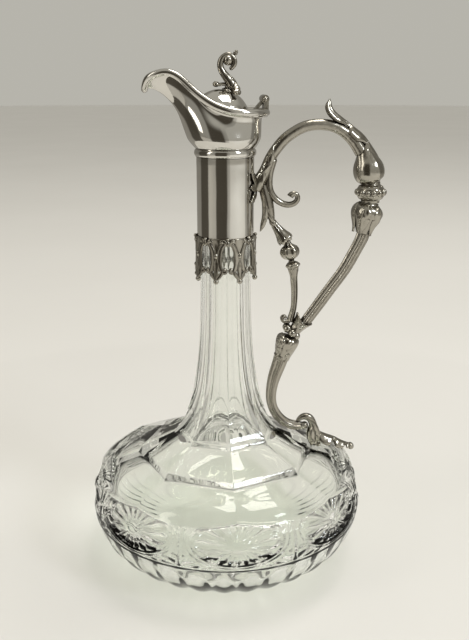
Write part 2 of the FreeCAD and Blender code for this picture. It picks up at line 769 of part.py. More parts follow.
def bracket_shape():
    """Stem on the wire with a knuckle at each side of a slot."""
    stem = Part.makeBox(S.bracket_width, 2 * side_end, S.hinge_rise,
                        hinge_centre - Vector(S.bracket_width / 4, side_end, S.hinge_rise))
    room = S.knuckle_radius + 2 * S.knuckle_gap
    slot = barrel(room, -side_start, side_start)
    above = Part.makeBox(2 * room, 2 * side_start, 2 * room, hinge_centre - Vector(room, side_start, 0))
    shape = stem.fuse(barrel(S.knuckle_radius, -side_end, side_end))
    return trimmed(shape, slot, above, barrel(S.pin_radius, -side_end, side_end), wire, head)


def pin_shape():
    """Pin with a half ball at each end."""
    heads = []
    for way in (-1, 1):
        face = hinge_centre + ACROSS * (way * side_end)
        half = barrel(S.pin_head_radius, way * side_end, way * (side_end + S.pin_head_radius))
        heads.append(ball(face, S.pin_head_radius).common(half))
    return barrel(S.pin_radius, -side_end, side_end).multiFuse(heads).removeSplitter()


bracket = keep("hinge_bracket", bracket_shape())
keep("hinge_pin", pin_shape())

# Lid, in a frame that leans with the mouth
lid_centre = Vector(-S.lid_shift, 0, rim_height + S.lid_rise)
lid_frame = Rotation(ACROSS, S.lid_tilt)
lid_normal = lid_frame.multVec(UP)
lid_along = lid_frame.multVec(ALONG)
lid_apex = lid_centre + lid_normal * S.dome_height


def lid_outline():
    """Inner wall of the head where it meets the plane of the lid, drawn in by the clearance."""
    rims = rim_points()
    points = []
    for index in range(len(rims)):
        low = 0.0
        high = 1.0
        for step in range(HALVINGS):
            level = (low + high) / 2
            if (wall_point(index, level, rims) - lid_centre).dot(lid_normal) < 0:
                low = level
            else:
                high = level
        normal = wall_normal(index, level, rims)
        flat = normal - lid_normal * normal.dot(lid_normal)
        inset = (S.head_wall + S.lid_clearance) / max(flat.Length, STEEPEST_SHARE)
        point = wall_point(index, level, rims) - flat.normalize() * inset
        spoke = point - lid_centre
        spoke = spoke - lid_normal * spoke.dot(lid_normal)
        toward_spout = (1 - math.cos(2 * math.pi * index / len(rims))) / 2
        limit = S.lid_reach + S.lid_tongue * toward_spout ** TONGUE_SHARPNESS
        points.append(lid_centre + spoke * (min(limit, spoke.Length) / spoke.Length))
    return points


def dome_solid(shrink):
    return turned(DOME_SHARES, S.dome_radius - shrink, S.dome_height - shrink, lid_centre, lid_normal)


def lid_shape():
    """Plate with a raised hollow dome and a hole for the stud."""
    outline = Part.Wire([spline(lid_outline(), True).toShape()])
    plate = Part.Face(outline).extrude(lid_normal * S.lid_plate)
    hole = Part.makeCylinder(S.stud_radius + S.stud_clearance, 2 * S.dome_height, lid_centre, lid_normal)
    return trimmed(plate.fuse(dome_solid(0)), dome_solid(S.dome_wall), hole)


def knuckle_shape():
    """Barrel and strap that carry the lid."""
    edge = lid_centre + lid_along * (S.dome_radius + S.lid_bead_radius) + lid_normal * (S.lid_plate / 2)
    run = edge - hinge_centre
    strap = Part.makeBox(S.strap_thickness, S.knuckle_length, run.Length)
    turn = Rotation(UP, run)
    corner = hinge_centre - turn.multVec(Vector(S.strap_thickness / 2, lid_half, 0))
    strap.Placement = Placement(corner, turn)
    shape = barrel(S.knuckle_radius, -lid_half, lid_half).fuse(strap)
    return trimmed(shape, barrel(S.pin_radius + S.pin_clearance, -side_end, side_end), lid, lid_bead)


lid = keep("lid_dome", lid_shape())
lid_top = lid_centre + lid_normal * S.lid_plate
lid_bead = Part.makeTorus(S.dome_radius, S.lid_bead_radius, lid_top, lid_normal)
lid_bead = keep("lid_moulding", trimmed(lid_bead, lid, dome_solid(0)))
keep("lid_knuckle", knuckle_shape())


# Finial

def placed(origin, shares, reach, height):
    """Points given in shares of a reach and a height, from an origin."""
    return [origin + ALONG * (out * reach) + UP * (up * height) for out, up in shares]


def finial_points(shares):
    return placed(lid_apex, shares, S.finial_height, S.finial_height)


dome_block = dome_solid(0)
stud_low = lid_apex - lid_normal * (S.dome_wall + S.stud_clearance + S.nut_thickness * STUD_SHARE)
stud = rod(stud_low, lid_apex + lid_normal * (S.finial_base_height / 2), S.stud_radius)
base_height = S.finial_base_height
finial_base = turned(FINIAL_BASE_SHARES, S.finial_base_radius, base_height, lid_apex, lid_normal)
finial_base = keep("finial_base", trimmed(finial_base, dome_block, stud))
keep("finial_screw", stud)
nut_top = lid_apex - lid_normal * (S.dome_wall + S.stud_clearance)
nut = rod(nut_top - lid_normal * S.nut_thickness, nut_top, S.nut_radius)
keep("finial_nut", trimmed(nut, lid, stud))
finial_ball = keep("finial_ball", ball(finial_points([FINIAL_BALL_SHARES])[0], S.finial_ball_radius))
scroll = tube(finial_points(FINIAL_SHARES), scaled(FINIAL_RADIUS_SHARES, S.finial_stem_radius))
scroll = keep("finial_scroll", trimmed(scroll, finial_base, finial_ball, dome_block, stud))
bud_path = finial_points(BUD_SHARES)
bud = tube(bud_path, scaled(BUD_RADIUS_SHARES, S.finial_bud_radius))
bud = bud.fuse(ball(bud_path[-1], S.finial_bud_radius))
keep("finial_bud", trimmed(bud, scroll, finial_ball))
leaf_radii = scaled(FINIAL_LEAF_RADIUS_SHARES, S.finial_leaf_radius)
finial_leaf = tube(finial_points(FINIAL_LEAF_SHARES), leaf_radii)
keep("finial_leaf", trimmed(finial_leaf, scroll, finial_base, dome_block))

# Handle root and the places that hang from it
root = Vector(S.sleeve_radius, 0, sleeve_top - S.root_drop)
grip_x = S.sleeve_radius + S.grip_reach
knop_height = root.z - S.ring_knop_drop
junction = Vector(S.sleeve_radius + S.junction_reach, 0, root.z - S.junction_drop)


def from_root(shares):
    return placed(root, shares, S.grip_reach, S.grip_reach)


def from_junction(shares):
    return placed(junction, shares, S.cuff_length, S.cuff_length)


def from_ridge(shares):
    return placed(ridge_corner, shares, S.scroll_height, S.scroll_height)


def over_panel(shares):
    return placed(ridge_corner, shares, S.belly_radius - S.ridge_radius, S.scroll_height)


def direction(shares):
    return Vector(shares[0], 0, shares[1]).normalize()


# Lug on the sleeve
lug_radius = S.sleeve_radius + S.lug_thickness
lug = Part.makeCylinder(lug_radius, 2 * S.lug_half_height, Vector(0, 0, root.z - S.lug_half_height))
lug_face = Part.Face(ring(Vector(0, 0, root.z), ACROSS, UP, S.lug_half_width, S.lug_half_height))
lug = lug.common(lug_face.extrude(ALONG * (lug_radius + S.overrun)))
lug = keep("handle_lug", trimmed(lug, sleeve_block))

# Knops on the grip
ring_top = Vector(grip_x, 0, knop_height + S.ring_knop_length / 2)
ring_low = Vector(grip_x, 0, knop_height - S.ring_knop_length / 2)
knop_lean = Rotation(ACROSS, -S.upper_knop_tilt).multVec(UP)
upper_top = ring_top + knop_lean * S.upper_knop_length
upper_knop = turned(UPPER_KNOP_SHARES, S.upper_knop_radius, S.upper_knop_length, ring_top, knop_lean)
below = Part.makeCylinder(2 * S.upper_knop_radius, S.upper_knop_length, ring_top, -UP)
upper_knop = keep("upper_knop", trimmed(upper_knop, below))
ring_centre = Vector(grip_x, 0, knop_height)
ring_knop = turned(RING_KNOP_SHARES, S.ring_knop_radius, S.ring_knop_length, ring_centre, UP, False)
knop_beads = []
for bead in range(KNOP_BEADS):
    spoke = polar(1, (2 * bead + 1) * math.pi / KNOP_BEADS, 0)
    place = ring_centre + spoke * S.ring_knop_radius
    knop_bead = ball(place, S.knop_bead_radius)
    knop_bead.rotate(place, UP.cross(spoke), FULL_TURN / 4)
    knop_beads.append(knop_bead)
ring_knop = keep("ring_knop", largest(ring_knop.multiFuse(knop_beads)))
lower_knop = turned(LOWER_KNOP_SHARES, S.lower_knop_radius, S.lower_knop_length, ring_low, -UP)
lower_knop = keep("lower_knop", lower_knop)

# Arch, its leaf and the curl inside it
arch_path = from_root(ARCH_SHARES) + [upper_top - knop_lean * S.arch_radius]
arch = tube(arch_path, scaled(ARCH_RADIUS_SHARES, S.arch_radius))
arch = keep("handle_arch", trimmed(arch, sleeve_block, lug, upper_knop))
arch_leaf = tube(
    from_root(ARCH_LEAF_SHARES),
    scaled(ARCH_LEAF_WIDTH_SHARES, S.arch_leaf_half_width),
    scaled(ARCH_LEAF_THICKNESS_SHARES, S.arch_leaf_half_thickness),
)
keep("arch_leaf", trimmed(arch_leaf, arch, upper_knop))
curl_path = from_root(CURL_SHARES)
curl = tube(curl_path, scaled(CURL_RADIUS_SHARES, S.curl_radius))
curl = curl.fuse(ball(curl_path[-1], S.curl_ball_radius))
curl = keep("inner_curl", trimmed(curl, arch))

# Chain that drops from the root to the junction
branch = tube(from_root(BRANCH_SHARES), scaled(BRANCH_RADIUS_SHARES, S.branch_radius))
branch_leaf = tube(from_root(BRANCH_LEAF_SHARES), scaled(BRANCH_LEAF_RADIUS_SHARES, S.branch_radius))
chain_places = [BELL_FOOT_SHARES, BELL_MOUTH_SHARES, DROP_KNOP_FOOT_SHARES]
bell_foot, bell_mouth, drop_knop_foot = from_root(chain_places)
bell_run = bell_mouth - bell_foot
bell = turned(BELL_SHARES, S.bell_radius, bell_run.Length, bell_foot, bell_run)
bell = keep("drop_bell", bell)
keep("drop_branch", trimmed(branch.fuse(branch_leaf), sleeve_block, lug, arch, curl, bell))
knop_run = drop_knop_foot - bell_mouth
drop_knop = turned(DROP_KNOP_SHARES, S.drop_knop_radius, S.drop_knop_length, bell_mouth, knop_run)
drop_knop = keep("drop_knop", trimmed(drop_knop, bell))
stem_top = bell_mouth + knop_run.normalize() * (S.drop_knop_length * SOCKET_SHARE)

# Junction
cuff = tube(from_junction(CUFF_SHARES), scaled(CUFF_RADIUS_SHARES, S.cuff_radius))
cup_top = from_junction([CUP_TOP_SHARES])[0]
cup_run = direction(CUP_AXIS_SHARES)
cup_low = cup_top + cup_run * S.cup_length
cup = keep("lower_cup", turned(CUP_SHARES, S.cup_radius, S.cup_length, cup_top, cup_run))
cuff = keep("junction_cuff", trimmed(cuff, cup))
bead_centre = from_junction([BEAD_RING_SHARES])[0]
bead_axis = direction(BEAD_AXIS_SHARES)
bead_side = bead_axis.cross(ACROSS)
beads = []
for bead in range(JUNCTION_BEADS):
    angle = (2 * bead + 1) * math.pi / JUNCTION_BEADS
    spoke = ACROSS * math.sin(angle) + bead_side * math.cos(angle)
    beads.append(ball(bead_centre + spoke * S.bead_ring_radius, S.bead_radius))
beads = keep("junction_beads", trimmed(beads[0].multiFuse(beads[1:]), cuff, cup))

# Stem between the drop knop and the junction
stem_low = from_junction([STEM_END_SHARES])[0]
drop_stem_path = along_chord(stem_top, stem_low, DROP_STEM_SHARES)
drop_stem = tube(drop_stem_path, scaled(DROP_STEM_RADIUS_SHARES, S.drop_stem_radius))
collar_place = stem_top + (stem_low - stem_top) * DROP_COLLAR_PLACE_SHARE
collar_run = stem_low - stem_top
collar = turned(DROP_COLLAR_SHARES, S.drop_collar_radius, S.drop_collar_length, collar_place, collar_run)
keep("drop_stem", trimmed(drop_stem.fuse(collar), drop_knop, cuff, beads, cup))

# Grip between the lower knop and the cuff
grip_top = ring_low - UP * (S.lower_knop_length * GRIP_TOP_SHARE)
grip_low = from_junction(CUFF_SHARES)[0]
grip_path = along_chord(grip_top, grip_low, GRIP_SHARES)
grip_path.append(grip_low + (grip_low - grip_top).normalize() * (S.cuff_length / 2))
grip_radii = scaled(GRIP_RADIUS_SHARES + [GRIP_END_SHARE], S.grip_radius)
grip = tube(grip_path, grip_radii, None, GRIP_FLUTES, S.flute_depth)
keep("grip_stem", trimmed(grip, lower_knop, cuff))

# Foot of the handle on the shoulder of the glass
foot_ball_place = from_ridge([FOOT_BALL_SHARES])[0]
foot_stem_path = along_chord(cup_low, foot_ball_place, FOOT_STEM_SHARES)
foot_stem_radii = scaled(FOOT_STEM_RADIUS_SHARES, S.foot_stem_radius)
foot_stem = tube(foot_stem_path, foot_stem_radii, None, GRIP_FLUTES, S.flute_depth)
foot_ball = keep("foot_ball", ball(foot_ball_place, S.foot_ball_radius))
foot_scroll = tube(from_ridge(SCROLL_SHARES), scaled(SCROLL_RADIUS_SHARES, S.scroll_radius))
foot_scroll = keep("foot_scroll", trimmed(foot_scroll, glass, foot_ball))
keep("foot_stem", trimmed(foot_stem, cup, foot_ball, foot_scroll, glass))
foot_leaf = tube(
    over_panel(FOOT_LEAF_SHARES),
    scaled(FOOT_LEAF_WIDTH_SHARES, S.foot_leaf_half_width),
    scaled(FOOT_LEAF_THICKNESS_SHARES, S.foot_leaf_half_thickness),
)
keep("foot_leaf", trimmed(foot_leaf, glass, foot_scroll))

# Check and write
doc.recompute()
for item in doc.Objects:
    if "Invalid" in item.State or "Error" in item.State:
        raise RuntimeError(f"{item.Name} did not compute")
for piece in pieces:
    if piece.Shape.isNull() or not piece.Shape.isValid():
        raise RuntimeError(f"{piece.Label} has no valid shape")
os.makedirs("parts", exist_ok=True)
for piece in pieces:
    piece.Shape.exportStep(f"parts/{piece.Label}.step")
print(f"{len(pieces)} pieces written")
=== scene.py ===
import math

import bpy
import numpy as np
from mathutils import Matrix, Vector


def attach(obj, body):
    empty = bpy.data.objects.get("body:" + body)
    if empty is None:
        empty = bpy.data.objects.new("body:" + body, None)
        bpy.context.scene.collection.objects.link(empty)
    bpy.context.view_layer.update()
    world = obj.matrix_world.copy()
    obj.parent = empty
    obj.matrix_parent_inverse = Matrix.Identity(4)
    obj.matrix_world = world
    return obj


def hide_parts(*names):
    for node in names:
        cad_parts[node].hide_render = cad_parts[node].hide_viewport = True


# Claret jug. Lengths here are millimetres; MM turns them into metres.
# +Z up, origin at the middle of the flat foot, spout towards -X, handle towards +X.
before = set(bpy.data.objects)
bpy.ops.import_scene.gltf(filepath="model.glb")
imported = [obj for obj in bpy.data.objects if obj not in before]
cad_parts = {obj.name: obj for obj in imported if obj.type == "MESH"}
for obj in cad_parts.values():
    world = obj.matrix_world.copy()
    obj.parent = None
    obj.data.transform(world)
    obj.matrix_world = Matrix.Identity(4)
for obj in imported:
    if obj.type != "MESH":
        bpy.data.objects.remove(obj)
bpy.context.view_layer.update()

MM = 0.001
UP = np.array([0.0, 0.0, 1.0])
ACROSS = np.array([0.0, 1.0, 0.0])
ALONG = np.array([1.0, 0.0, 0.0])
SIDE = 2 * math.pi / 8


# Numbers and curves

def unit(vectors):
    vectors = np.asarray(vectors, float)
    return vectors / np.maximum(np.linalg.norm(vectors, axis=-1, keepdims=True), 1e-12)


def ease(low, high, value):
    """0 below low, 1 above high, smooth between."""
    share = np.clip((value - low) / (high - low), 0, 1)
    return share * share * (3 - 2 * share)


def knot_slopes(rows, at, closed):
    """Slopes of the smooth curve through the rows."""
    count = len(rows)
    gaps = np.diff(at)
    rises = np.diff(rows, axis=0) / gaps[:, None]
    system = np.zeros((count, count))
    wanted = np.zeros_like(rows)
    for index in range(1, count - 1):
        before, after = gaps[index - 1], gaps[index]
        system[index, index - 1:index + 2] = after, 2 * (before + after), before
        wanted[index] = 3 * (after * rises[index - 1] + before * rises[index])
    if closed:
        before, after = gaps[-1], gaps[0]
        system[0, [-2, 0, 1]] = after, 2 * (before + after), before
        wanted[0] = 3 * (after * rises[-1] + before * rises[0])
        system[-1, [0, -1]] = 1, -1
    else:
        system[0, :2] = 2, 1
        wanted[0] = 3 * rises[0]
        system[-1, -2:] = 1, 2
        wanted[-1] = 3 * rises[-1]
    return np.linalg.solve(system, wanted)


def smooth(rows, count, closed=False, room=3, even=True):
    """count rows of the smooth curve through the given rows; the first room columns set the pace."""
    rows = np.asarray(rows, float)
    if closed:
        rows = np.vstack([rows, rows[:1]])
    steps = np.linalg.norm(np.diff(rows[:, :room], axis=0), axis=1) if even else np.ones(len(rows) - 1)
    at = np.concatenate([[0], np.cumsum(steps)])
    slopes = knot_slopes(rows, at, closed)
    wanted = np.linspace(0, at[-1], count, endpoint=not closed)
    spot = np.clip(np.searchsorted(at, wanted, "right") - 1, 0, len(at) - 2)
    gap = (at[spot + 1] - at[spot])[:, None]
    share = (wanted - at[spot])[:, None] / gap
    square, cube = share ** 2, share ** 3
    return (
        rows[spot] * (2 * cube - 3 * square + 1) + slopes[spot] * gap * (cube - 2 * square + share)
        + rows[spot + 1] * (3 * square - 2 * cube) + slopes[spot + 1] * gap * (cube - square)
    )


def tangents(path, closed=False):
    if closed:
        return unit(np.roll(path, -1, 0) - np.roll(path, 1, 0))
    return unit(np.gradient(path, axis=0))


def flat_path(rows):
    """Rows of (x, z, ...) as rows of (x, 0, z, ...)."""
    rows = np.asarray(rows, float)
    return np.insert(rows, 1, 0, axis=1)


# Meshes

class Skin:
    """Points and faces of one piece, gathered grid by grid."""

    def __init__(self):
        self.points = []
        self.faces = []
        self.count = 0

    def grid(self, rows, around=True, along=False, ends=(False, False)):
        """Rows of points joined into a sheet, closed round or along if asked, its ends filled if asked."""
        rows = np.asarray(rows, float)
        high, wide = rows.shape[:2]
        number = np.arange(high * wide).reshape(high, wide) + self.count
        if around:
            number = np.hstack([number, number[:, :1]])
        if along:
            number = np.vstack([number, number[:1]])
        low_left, low_right = number[:-1, :-1].ravel(), number[:-1, 1:].ravel()
        top_left, top_right = number[1:, :-1].ravel(), number[1:, 1:].ravel()
        self.points.append(rows.reshape(-1, 3))
        self.faces.extend(np.stack([low_left, low_right, top_right, top_left], 1).tolist())
        self.count += high * wide
        for wanted, row, order in ((ends[0], 0, -1), (ends[1], -1, 1)):
            if wanted:
                middle = rows[row].mean(0)
                self.points.append(middle[None])
                edge = number[row]
                fan = np.stack([edge[:-1], edge[1:], np.full(len(edge) - 1, self.count)], 1)
                self.faces.extend(fan[:, ::order].tolist())
                self.count += 1
        return self


def mesh_of(name, skin, material):
    """Mesh in metres from a skin in millimetres."""
    mesh = bpy.data.meshes.new(name)
    mesh.from_pydata((np.vstack(skin.points) * MM).tolist(), [], skin.faces)
    mesh.materials.append(material)
    return mesh


def piece(name, skin, material, body, nodes=(), sharp=None):
    """One object of the scene, riding on a body and standing for its nodes."""
    mesh = mesh_of(name, skin, material)
    mesh.validate()
    mesh.shade_smooth()
    if sharp:
        mesh.set_sharp_from_angle(angle=math.radians(sharp))
    made = bpy.data.objects.new(name, mesh)
    bpy.context.scene.collection.objects.link(made)
    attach(made, body)
    if nodes:
        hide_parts(*nodes)
    return made


def sweep(skin, path, wide, thick=None, lift=None, section=None, count=24, closed=False, ends=(1, 1)):
    """Tube along a path. lift is the direction of its thickness; section shapes it round and along."""
    path = np.asarray(path, float)
    size = len(path)
    wide = np.broadcast_to(wide, size).astype(float)
    thick = wide if thick is None else np.broadcast_to(thick, size).astype(float)
    way = tangents(path, closed)
    if lift is None:
        side = np.broadcast_to(ACROSS, path.shape)
    else:
        side = unit(np.cross(way, np.broadcast_to(lift, path.shape)))
    top = unit(np.cross(side, way))
    share = np.linspace(0, 1, size)
    if not closed:
        path, wide, thick, way, side, top, share = rounded([path, wide, thick, way, side, top, share], ends)
    angle = np.linspace(0, 2 * math.pi, count, endpoint=False)
    factor = np.ones((len(path), count))
    if section is not None:
        factor = section(angle[None, :], share[:, None]) * factor
    across = (wide[:, None] * np.cos(angle)[None] * factor)[..., None] * side[:, None]
    over = (thick[:, None] * np.sin(angle)[None] * factor)[..., None] * top[:, None]
    skin.grid(path[:, None] + across + over, along=closed, ends=(not closed, not closed))
    return skin


def rounded(columns, ends):
    """The columns of a sweep with round ends, each as long as its own thickness times the given share."""
    turns = np.radians([22, 44, 62, 78, 87])
    for index, amount in ((0, ends[0]), (-1, ends[1])):
        if not amount:
            continue
        spot, wide, thick, way = (column[index] for column in columns[:4])
        reach = min(wide, thick) * amount * (-1 if index == 0 else 1)
        extra = [spot + way * (reach * np.sin(turns))[:, None], wide * np.cos(turns), thick * np.cos(turns)]
        extra += [np.repeat(column[index][None], len(turns), 0) for column in columns[3:]]
        if index == 0:
            columns = [np.concatenate([new[::-1], old]) for new, old in zip(extra, columns)]
        else:
            columns = [np.concatenate([old, new]) for new, old in zip(extra, columns)]
    return columns


def tube(skin, points, rows, deep=1.0, **form):
    """Tube through (x, z, radius) points in the plane of the handle; returns its line."""
    line = smooth(flat_path(points), rows)
    sweep(skin, line[:, :3], line[:, 3], line[:, 3] * deep, **form)
    return line


def lathe(skin, profile, base=(0, 0, 0), axis=UP, relief=None, count=64, rows=40):
    """Turned form from (radius, height) pairs; relief(angle, share) adds to the radius."""
    profile = np.asarray(profile, float)
    if rows:
        profile = smooth(profile, rows, room=2)
    axis = unit(axis)
    side = unit(np.cross(ACROSS, axis)) if abs(axis[1]) < 0.9 else ALONG
    other = np.cross(axis, side)
    angle = np.linspace(0, 2 * math.pi, count, endpoint=False)
    radius = np.repeat(np.maximum(profile[:, :1], 0), count, 1)
    if relief is not None:
        radius = np.maximum(radius + relief(angle[None], np.linspace(0, 1, len(profile))[:, None]), 0)
    spokes = np.cos(angle)[:, None] * side + np.sin(angle)[:, None] * other
    points = np.asarray(base, float) + profile[:, 1, None, None] * axis + radius[..., None] * spokes[None]
    skin.grid(points, ends=(True, True))
    return skin


def ball(skin, centre, radius, stretch=(1, 1, 1), count=24):
    """Round bead, stretched along the three directions if asked."""
    turns = np.linspace(0.06, math.pi - 0.06, count // 2 + 1)
    profile = np.stack([radius * np.sin(turns), -radius * np.cos(turns)], 1)
    start = len(skin.points)
    lathe(skin, profile, centre, UP, count=count, rows=0)
    for index in range(start, len(skin.points)):
        skin.points[index] = (skin.points[index] - centre) * np.asarray(stretch) + centre
    return skin


def leaf(skin, path, widths, thick, face, cup=0.0, rib=0.25, veins=0, depth=0.15, notches=0, bite=0.3,
         rows=64, across=15):
    """Leaf along a path, its upper side towards face, with a midrib, veins and a notched edge."""
    faces = np.broadcast_to(face, (len(path), 3))
    line = smooth(np.column_stack([path, widths, np.broadcast_to(thick, len(path)), faces]), rows)
    centre = line[:, :3]
    wide, deep = np.maximum(line[:, 3:5], 0.05).T
    way = tangents(centre)
    side = unit(np.cross(way, line[:, 5:]))
    top = unit(np.cross(side, way))
    share = np.linspace(0, 1, rows)
    if notches:
        wide = wide * (1 - bite * ease(0.5, 1.0, (share * notches) % 1) * (share < 0.97))
    spread = np.linspace(-1, 1, across)
    bend = cup * (spread ** 2)[None] * wide[:, None]
    ridge = rib * np.exp(-(spread / 0.14) ** 2)[None] * deep[:, None]
    if veins:
        wave = np.cos(2 * math.pi * (share[:, None] * veins - np.abs(spread)[None] * 1.1))
        ridge = ridge + depth * wave * (np.abs(spread) > 0.16)[None] * (1 - spread ** 2)[None]
    body = deep[:, None] * np.sqrt(np.clip(1 - (spread ** 2)[None] * 0.96, 0, 1))
    sheet = centre[:, None] + side[:, None] * (wide[:, None] * spread)[..., None]
    upper = sheet + top[:, None] * (bend + ridge + body)[..., None]
    lower = sheet + top[:, None] * (bend - body)[..., None]
    skin.grid(np.concatenate([upper, lower[:, ::-1]], 1), ends=(True, True))
    return skin


def twin_leaves(skin, points, widths, thick, face, **form):
    """The same leaf on both sides of the handle's plane, given for the side towards +Y."""
    for way in (-1, 1):
        flip = np.array([1, way, 1])
        leaf(skin, np.array(points) * flip, widths, thick, np.array(face) * flip, **form)


def petals(skin, number, shift, base, axis, outline, widths, thick, sink=0.3, **form):
    """Leaves round a turned form through (radius, height) points, all turned by a share of a leaf."""
    side = unit(np.cross(ACROSS, axis))
    for index in range(number):
        bearing = 2 * math.pi * (index + shift) / number
        spoke = side * math.cos(bearing) + ACROSS * math.sin(bearing)
        path = np.array([base + axis * up + spoke * (out - sink) for out, up in outline])
        leaf(skin, path, widths, thick, spoke, **form)


def draped(skin, rows, drops, ends, bite, count=120, across=25):
    """Leaf through (x, z, half width) rows, its lobes hanging on both sides of its crest.

    drops say how far the sides hang, and ends are the shares of the path where the next lobe begins.
    """
    thick = 0.9
    line = smooth(np.column_stack([flat_path(rows), drops]), count)
    crest = line[:, :3]
    wide, drop = np.maximum(line[:, 3:], 0.05).T
    rise = unit(np.cross(tangents(crest), ACROSS))
    rise = rise * np.where(rise[:, 2:] < 0, -1, 1)
    share = np.linspace(0, 1, count)
    stops = np.array([0.0, *ends, 1.0])
    last = len(stops) - 2
    lobe = np.clip(np.searchsorted(stops, share, side="right") - 1, 0, last)
    step = (share - stops[lobe]) / (stops[lobe + 1] - stops[lobe])
    size = 1 - bite * ease(0.5, 1.0, step) * (lobe < last)
    size = size * (0.62 + 0.38 * ease(0.0, 0.14, step)) ** (lobe > 0)
    lean = np.linspace(-1, 1, across)[None] * 1.62
    flank = np.sin(lean)[..., None]
    crease = 0.3 * np.exp(-(lean / 0.16) ** 2) - 0.3 * np.exp(-((np.abs(lean) - 0.85) / 0.22) ** 2)
    side = ACROSS * (wide * size)[:, None, None] * flank
    fall = rise[:, None] * (drop * size)[:, None, None] * (1 - np.cos(lean))[..., None]
    outward = unit(ACROSS * flank + rise[:, None] * np.cos(lean)[..., None])
    deep = thick * (0.35 + 0.65 * np.sqrt(np.clip(1 - (lean / 1.66) ** 2, 0, 1)))
    fold = (crease * np.minimum(1, wide / 2)[:, None])[..., None] * 0.8
    upper = crest[:, None] + side - fall + outward * fold
    skin.grid(np.concatenate([upper, (upper - outward * deep[..., None])[:, ::-1]], 1), ends=(True, True))
    return skin


# Materials

class Look:
    """A material in the making: its nodes and the surface that they feed."""

    def __init__(self, name):
        self.material = bpy.data.materials.new(name)
        self.material.use_nodes = True
        self.nodes = self.material.node_tree.nodes
        self.links = self.material.node_tree.links
        self.face = self.nodes["Principled BSDF"]

    def feed(self, socket, value):
        """Links an output to the socket, or gives the socket a constant."""
        if isinstance(value, bpy.types.NodeSocket):
            self.links.new(value, socket)
        else:
            socket.default_value = (*value, 1.0) if isinstance(value, tuple) else value

    def fill(self, node, **inputs):
        """Feeds inputs by name, with _ for a space."""
        for name, value in inputs.items():
            self.feed(node.inputs[name.replace("_", " ")], value)

    def add(self, kind, **inputs):
        made = self.nodes.new("ShaderNode" + kind)
        self.fill(made, **inputs)
        return made

    def noise(self, scale, detail=4.0):
        place = self.add("TexCoord").outputs["Object"]
        return self.add("TexNoise", Vector=place, Scale=scale, Detail=detail, Roughness=0.5).outputs["Fac"]

    def ramp(self, source, *stops):
        """Colours, or greys given as one number, that follow the source through (place, value) stops."""
        made = self.add("ValToRGB", Fac=source)
        for element, (place, value) in zip(made.color_ramp.elements, stops):
            element.position = place
            element.color = (*value, 1.0) if isinstance(value, tuple) else (value, value, value, 1.0)
        return made.outputs["Color"]

    def mix(self, kind, factor, first, second):
        made = self.add("Mix")
        made.data_type = "RGBA"
        made.blend_type = kind
        self.feed(made.inputs["Factor"], factor)
        colours = [socket for socket in made.inputs if socket.type == "RGBA"]
        self.feed(colours[0], first)
        self.feed(colours[1], second)
        return next(socket for socket in made.outputs if socket.type == "RGBA")

    def blend(self, factor, first, second):
        """Sends two shaders, mixed by the factor, to the surface."""
        made = self.add("MixShader", Fac=factor)
        self.links.new(first.outputs[0], made.inputs[1])
        self.links.new(second.outputs[0], made.inputs[2])
        self.links.new(made.outputs[0], self.nodes["Material Output"].inputs["Surface"])

    def bump(self, source, strength, distance):
        return self.add("Bump", Height=source, Strength=strength, Distance=distance * MM)


def silver(name, bright, dark, rough, wave, tarnish_and_shade, reach):
    """Plated metal: faint waves, fine scratches, and a dark colour in hollows and creases, found by ambient
    occlusion and pointiness, which is tarnish and painted shade.
    """
    look = Look(name)
    cloud = look.noise(60.0)
    # Ambient occlusion and concave creases pull the colour towards dark: tarnish and painted shade in the
    # hollows
    hollow = look.add("AmbientOcclusion", Distance=reach * MM)
    hollow.samples = 6
    edge = look.ramp(look.add("NewGeometry").outputs["Pointiness"], (0.42, 1.0), (0.5, 0.0))
    shade = look.ramp(hollow.outputs["AO"], (0.25, 1.0), (0.85, 0.0))
    level = look.add("Math")
    level.operation = "MULTIPLY"
    level.use_clamp = True
    look.feed(level.inputs[0], look.mix("ADD", 0.8, shade, edge))
    look.feed(level.inputs[1], tarnish_and_shade)
    tone = look.ramp(cloud, (0.3, bright), (0.75, tuple(part * 0.9 for part in bright)))
    rub = look.ramp(cloud, (0.3, rough), (0.8, rough * 2.2))
    scratches = look.bump(look.noise(900.0, 2.0), 0.04, 0.1)
    look.fill(scratches, Normal=look.bump(look.noise(wave[0], 1.0), wave[1], 1.0).outputs["Normal"])
    look.fill(
        look.face, Metallic=1.0, Normal=scratches.outputs["Normal"],
        Base_Color=look.mix("MIX", level.outputs[0], tone, dark),
        Roughness=look.mix("MIX", level.outputs[0], rub, (0.45, 0.45, 0.45)),
    )
    return look.material


def cut_glass():
    """Clear glass with a breath of green and faint waves, which lets most of the lamps' light through."""
    look = Look("cut_glass_look")
    cloud = look.noise(45.0, 3.0)
    look.fill(
        look.face, Transmission_Weight=1.0, IOR=1.52, Specular_IOR_Level=0.5,
        Base_Color=look.ramp(cloud, (0.35, (0.985, 0.993, 0.975)), (0.7, (0.965, 0.98, 0.955))),
        Roughness=look.ramp(cloud, (0.4, 0.0), (0.8, 0.03)),
        Normal=look.bump(look.noise(38.0, 1.5), 0.12, 0.8).outputs["Normal"],
    )
    clear = look.add("BsdfTransparent", Color=(0.75, 0.765, 0.74))
    look.blend(look.add("LightPath").outputs["Is Shadow Ray"], look.face, clear)
    return look.material


def plaster():
    look = Look("plaster_look")
    cloud = look.noise(220.0, 6.0)
    look.fill(
        look.face, Roughness=0.9, Normal=look.bump(cloud, 0.4, 0.3).outputs["Normal"],
        Base_Color=look.ramp(cloud, (0.3, (0.5, 0.46, 0.38)), (0.7, (0.72, 0.69, 0.6))),
    )
    return look.material
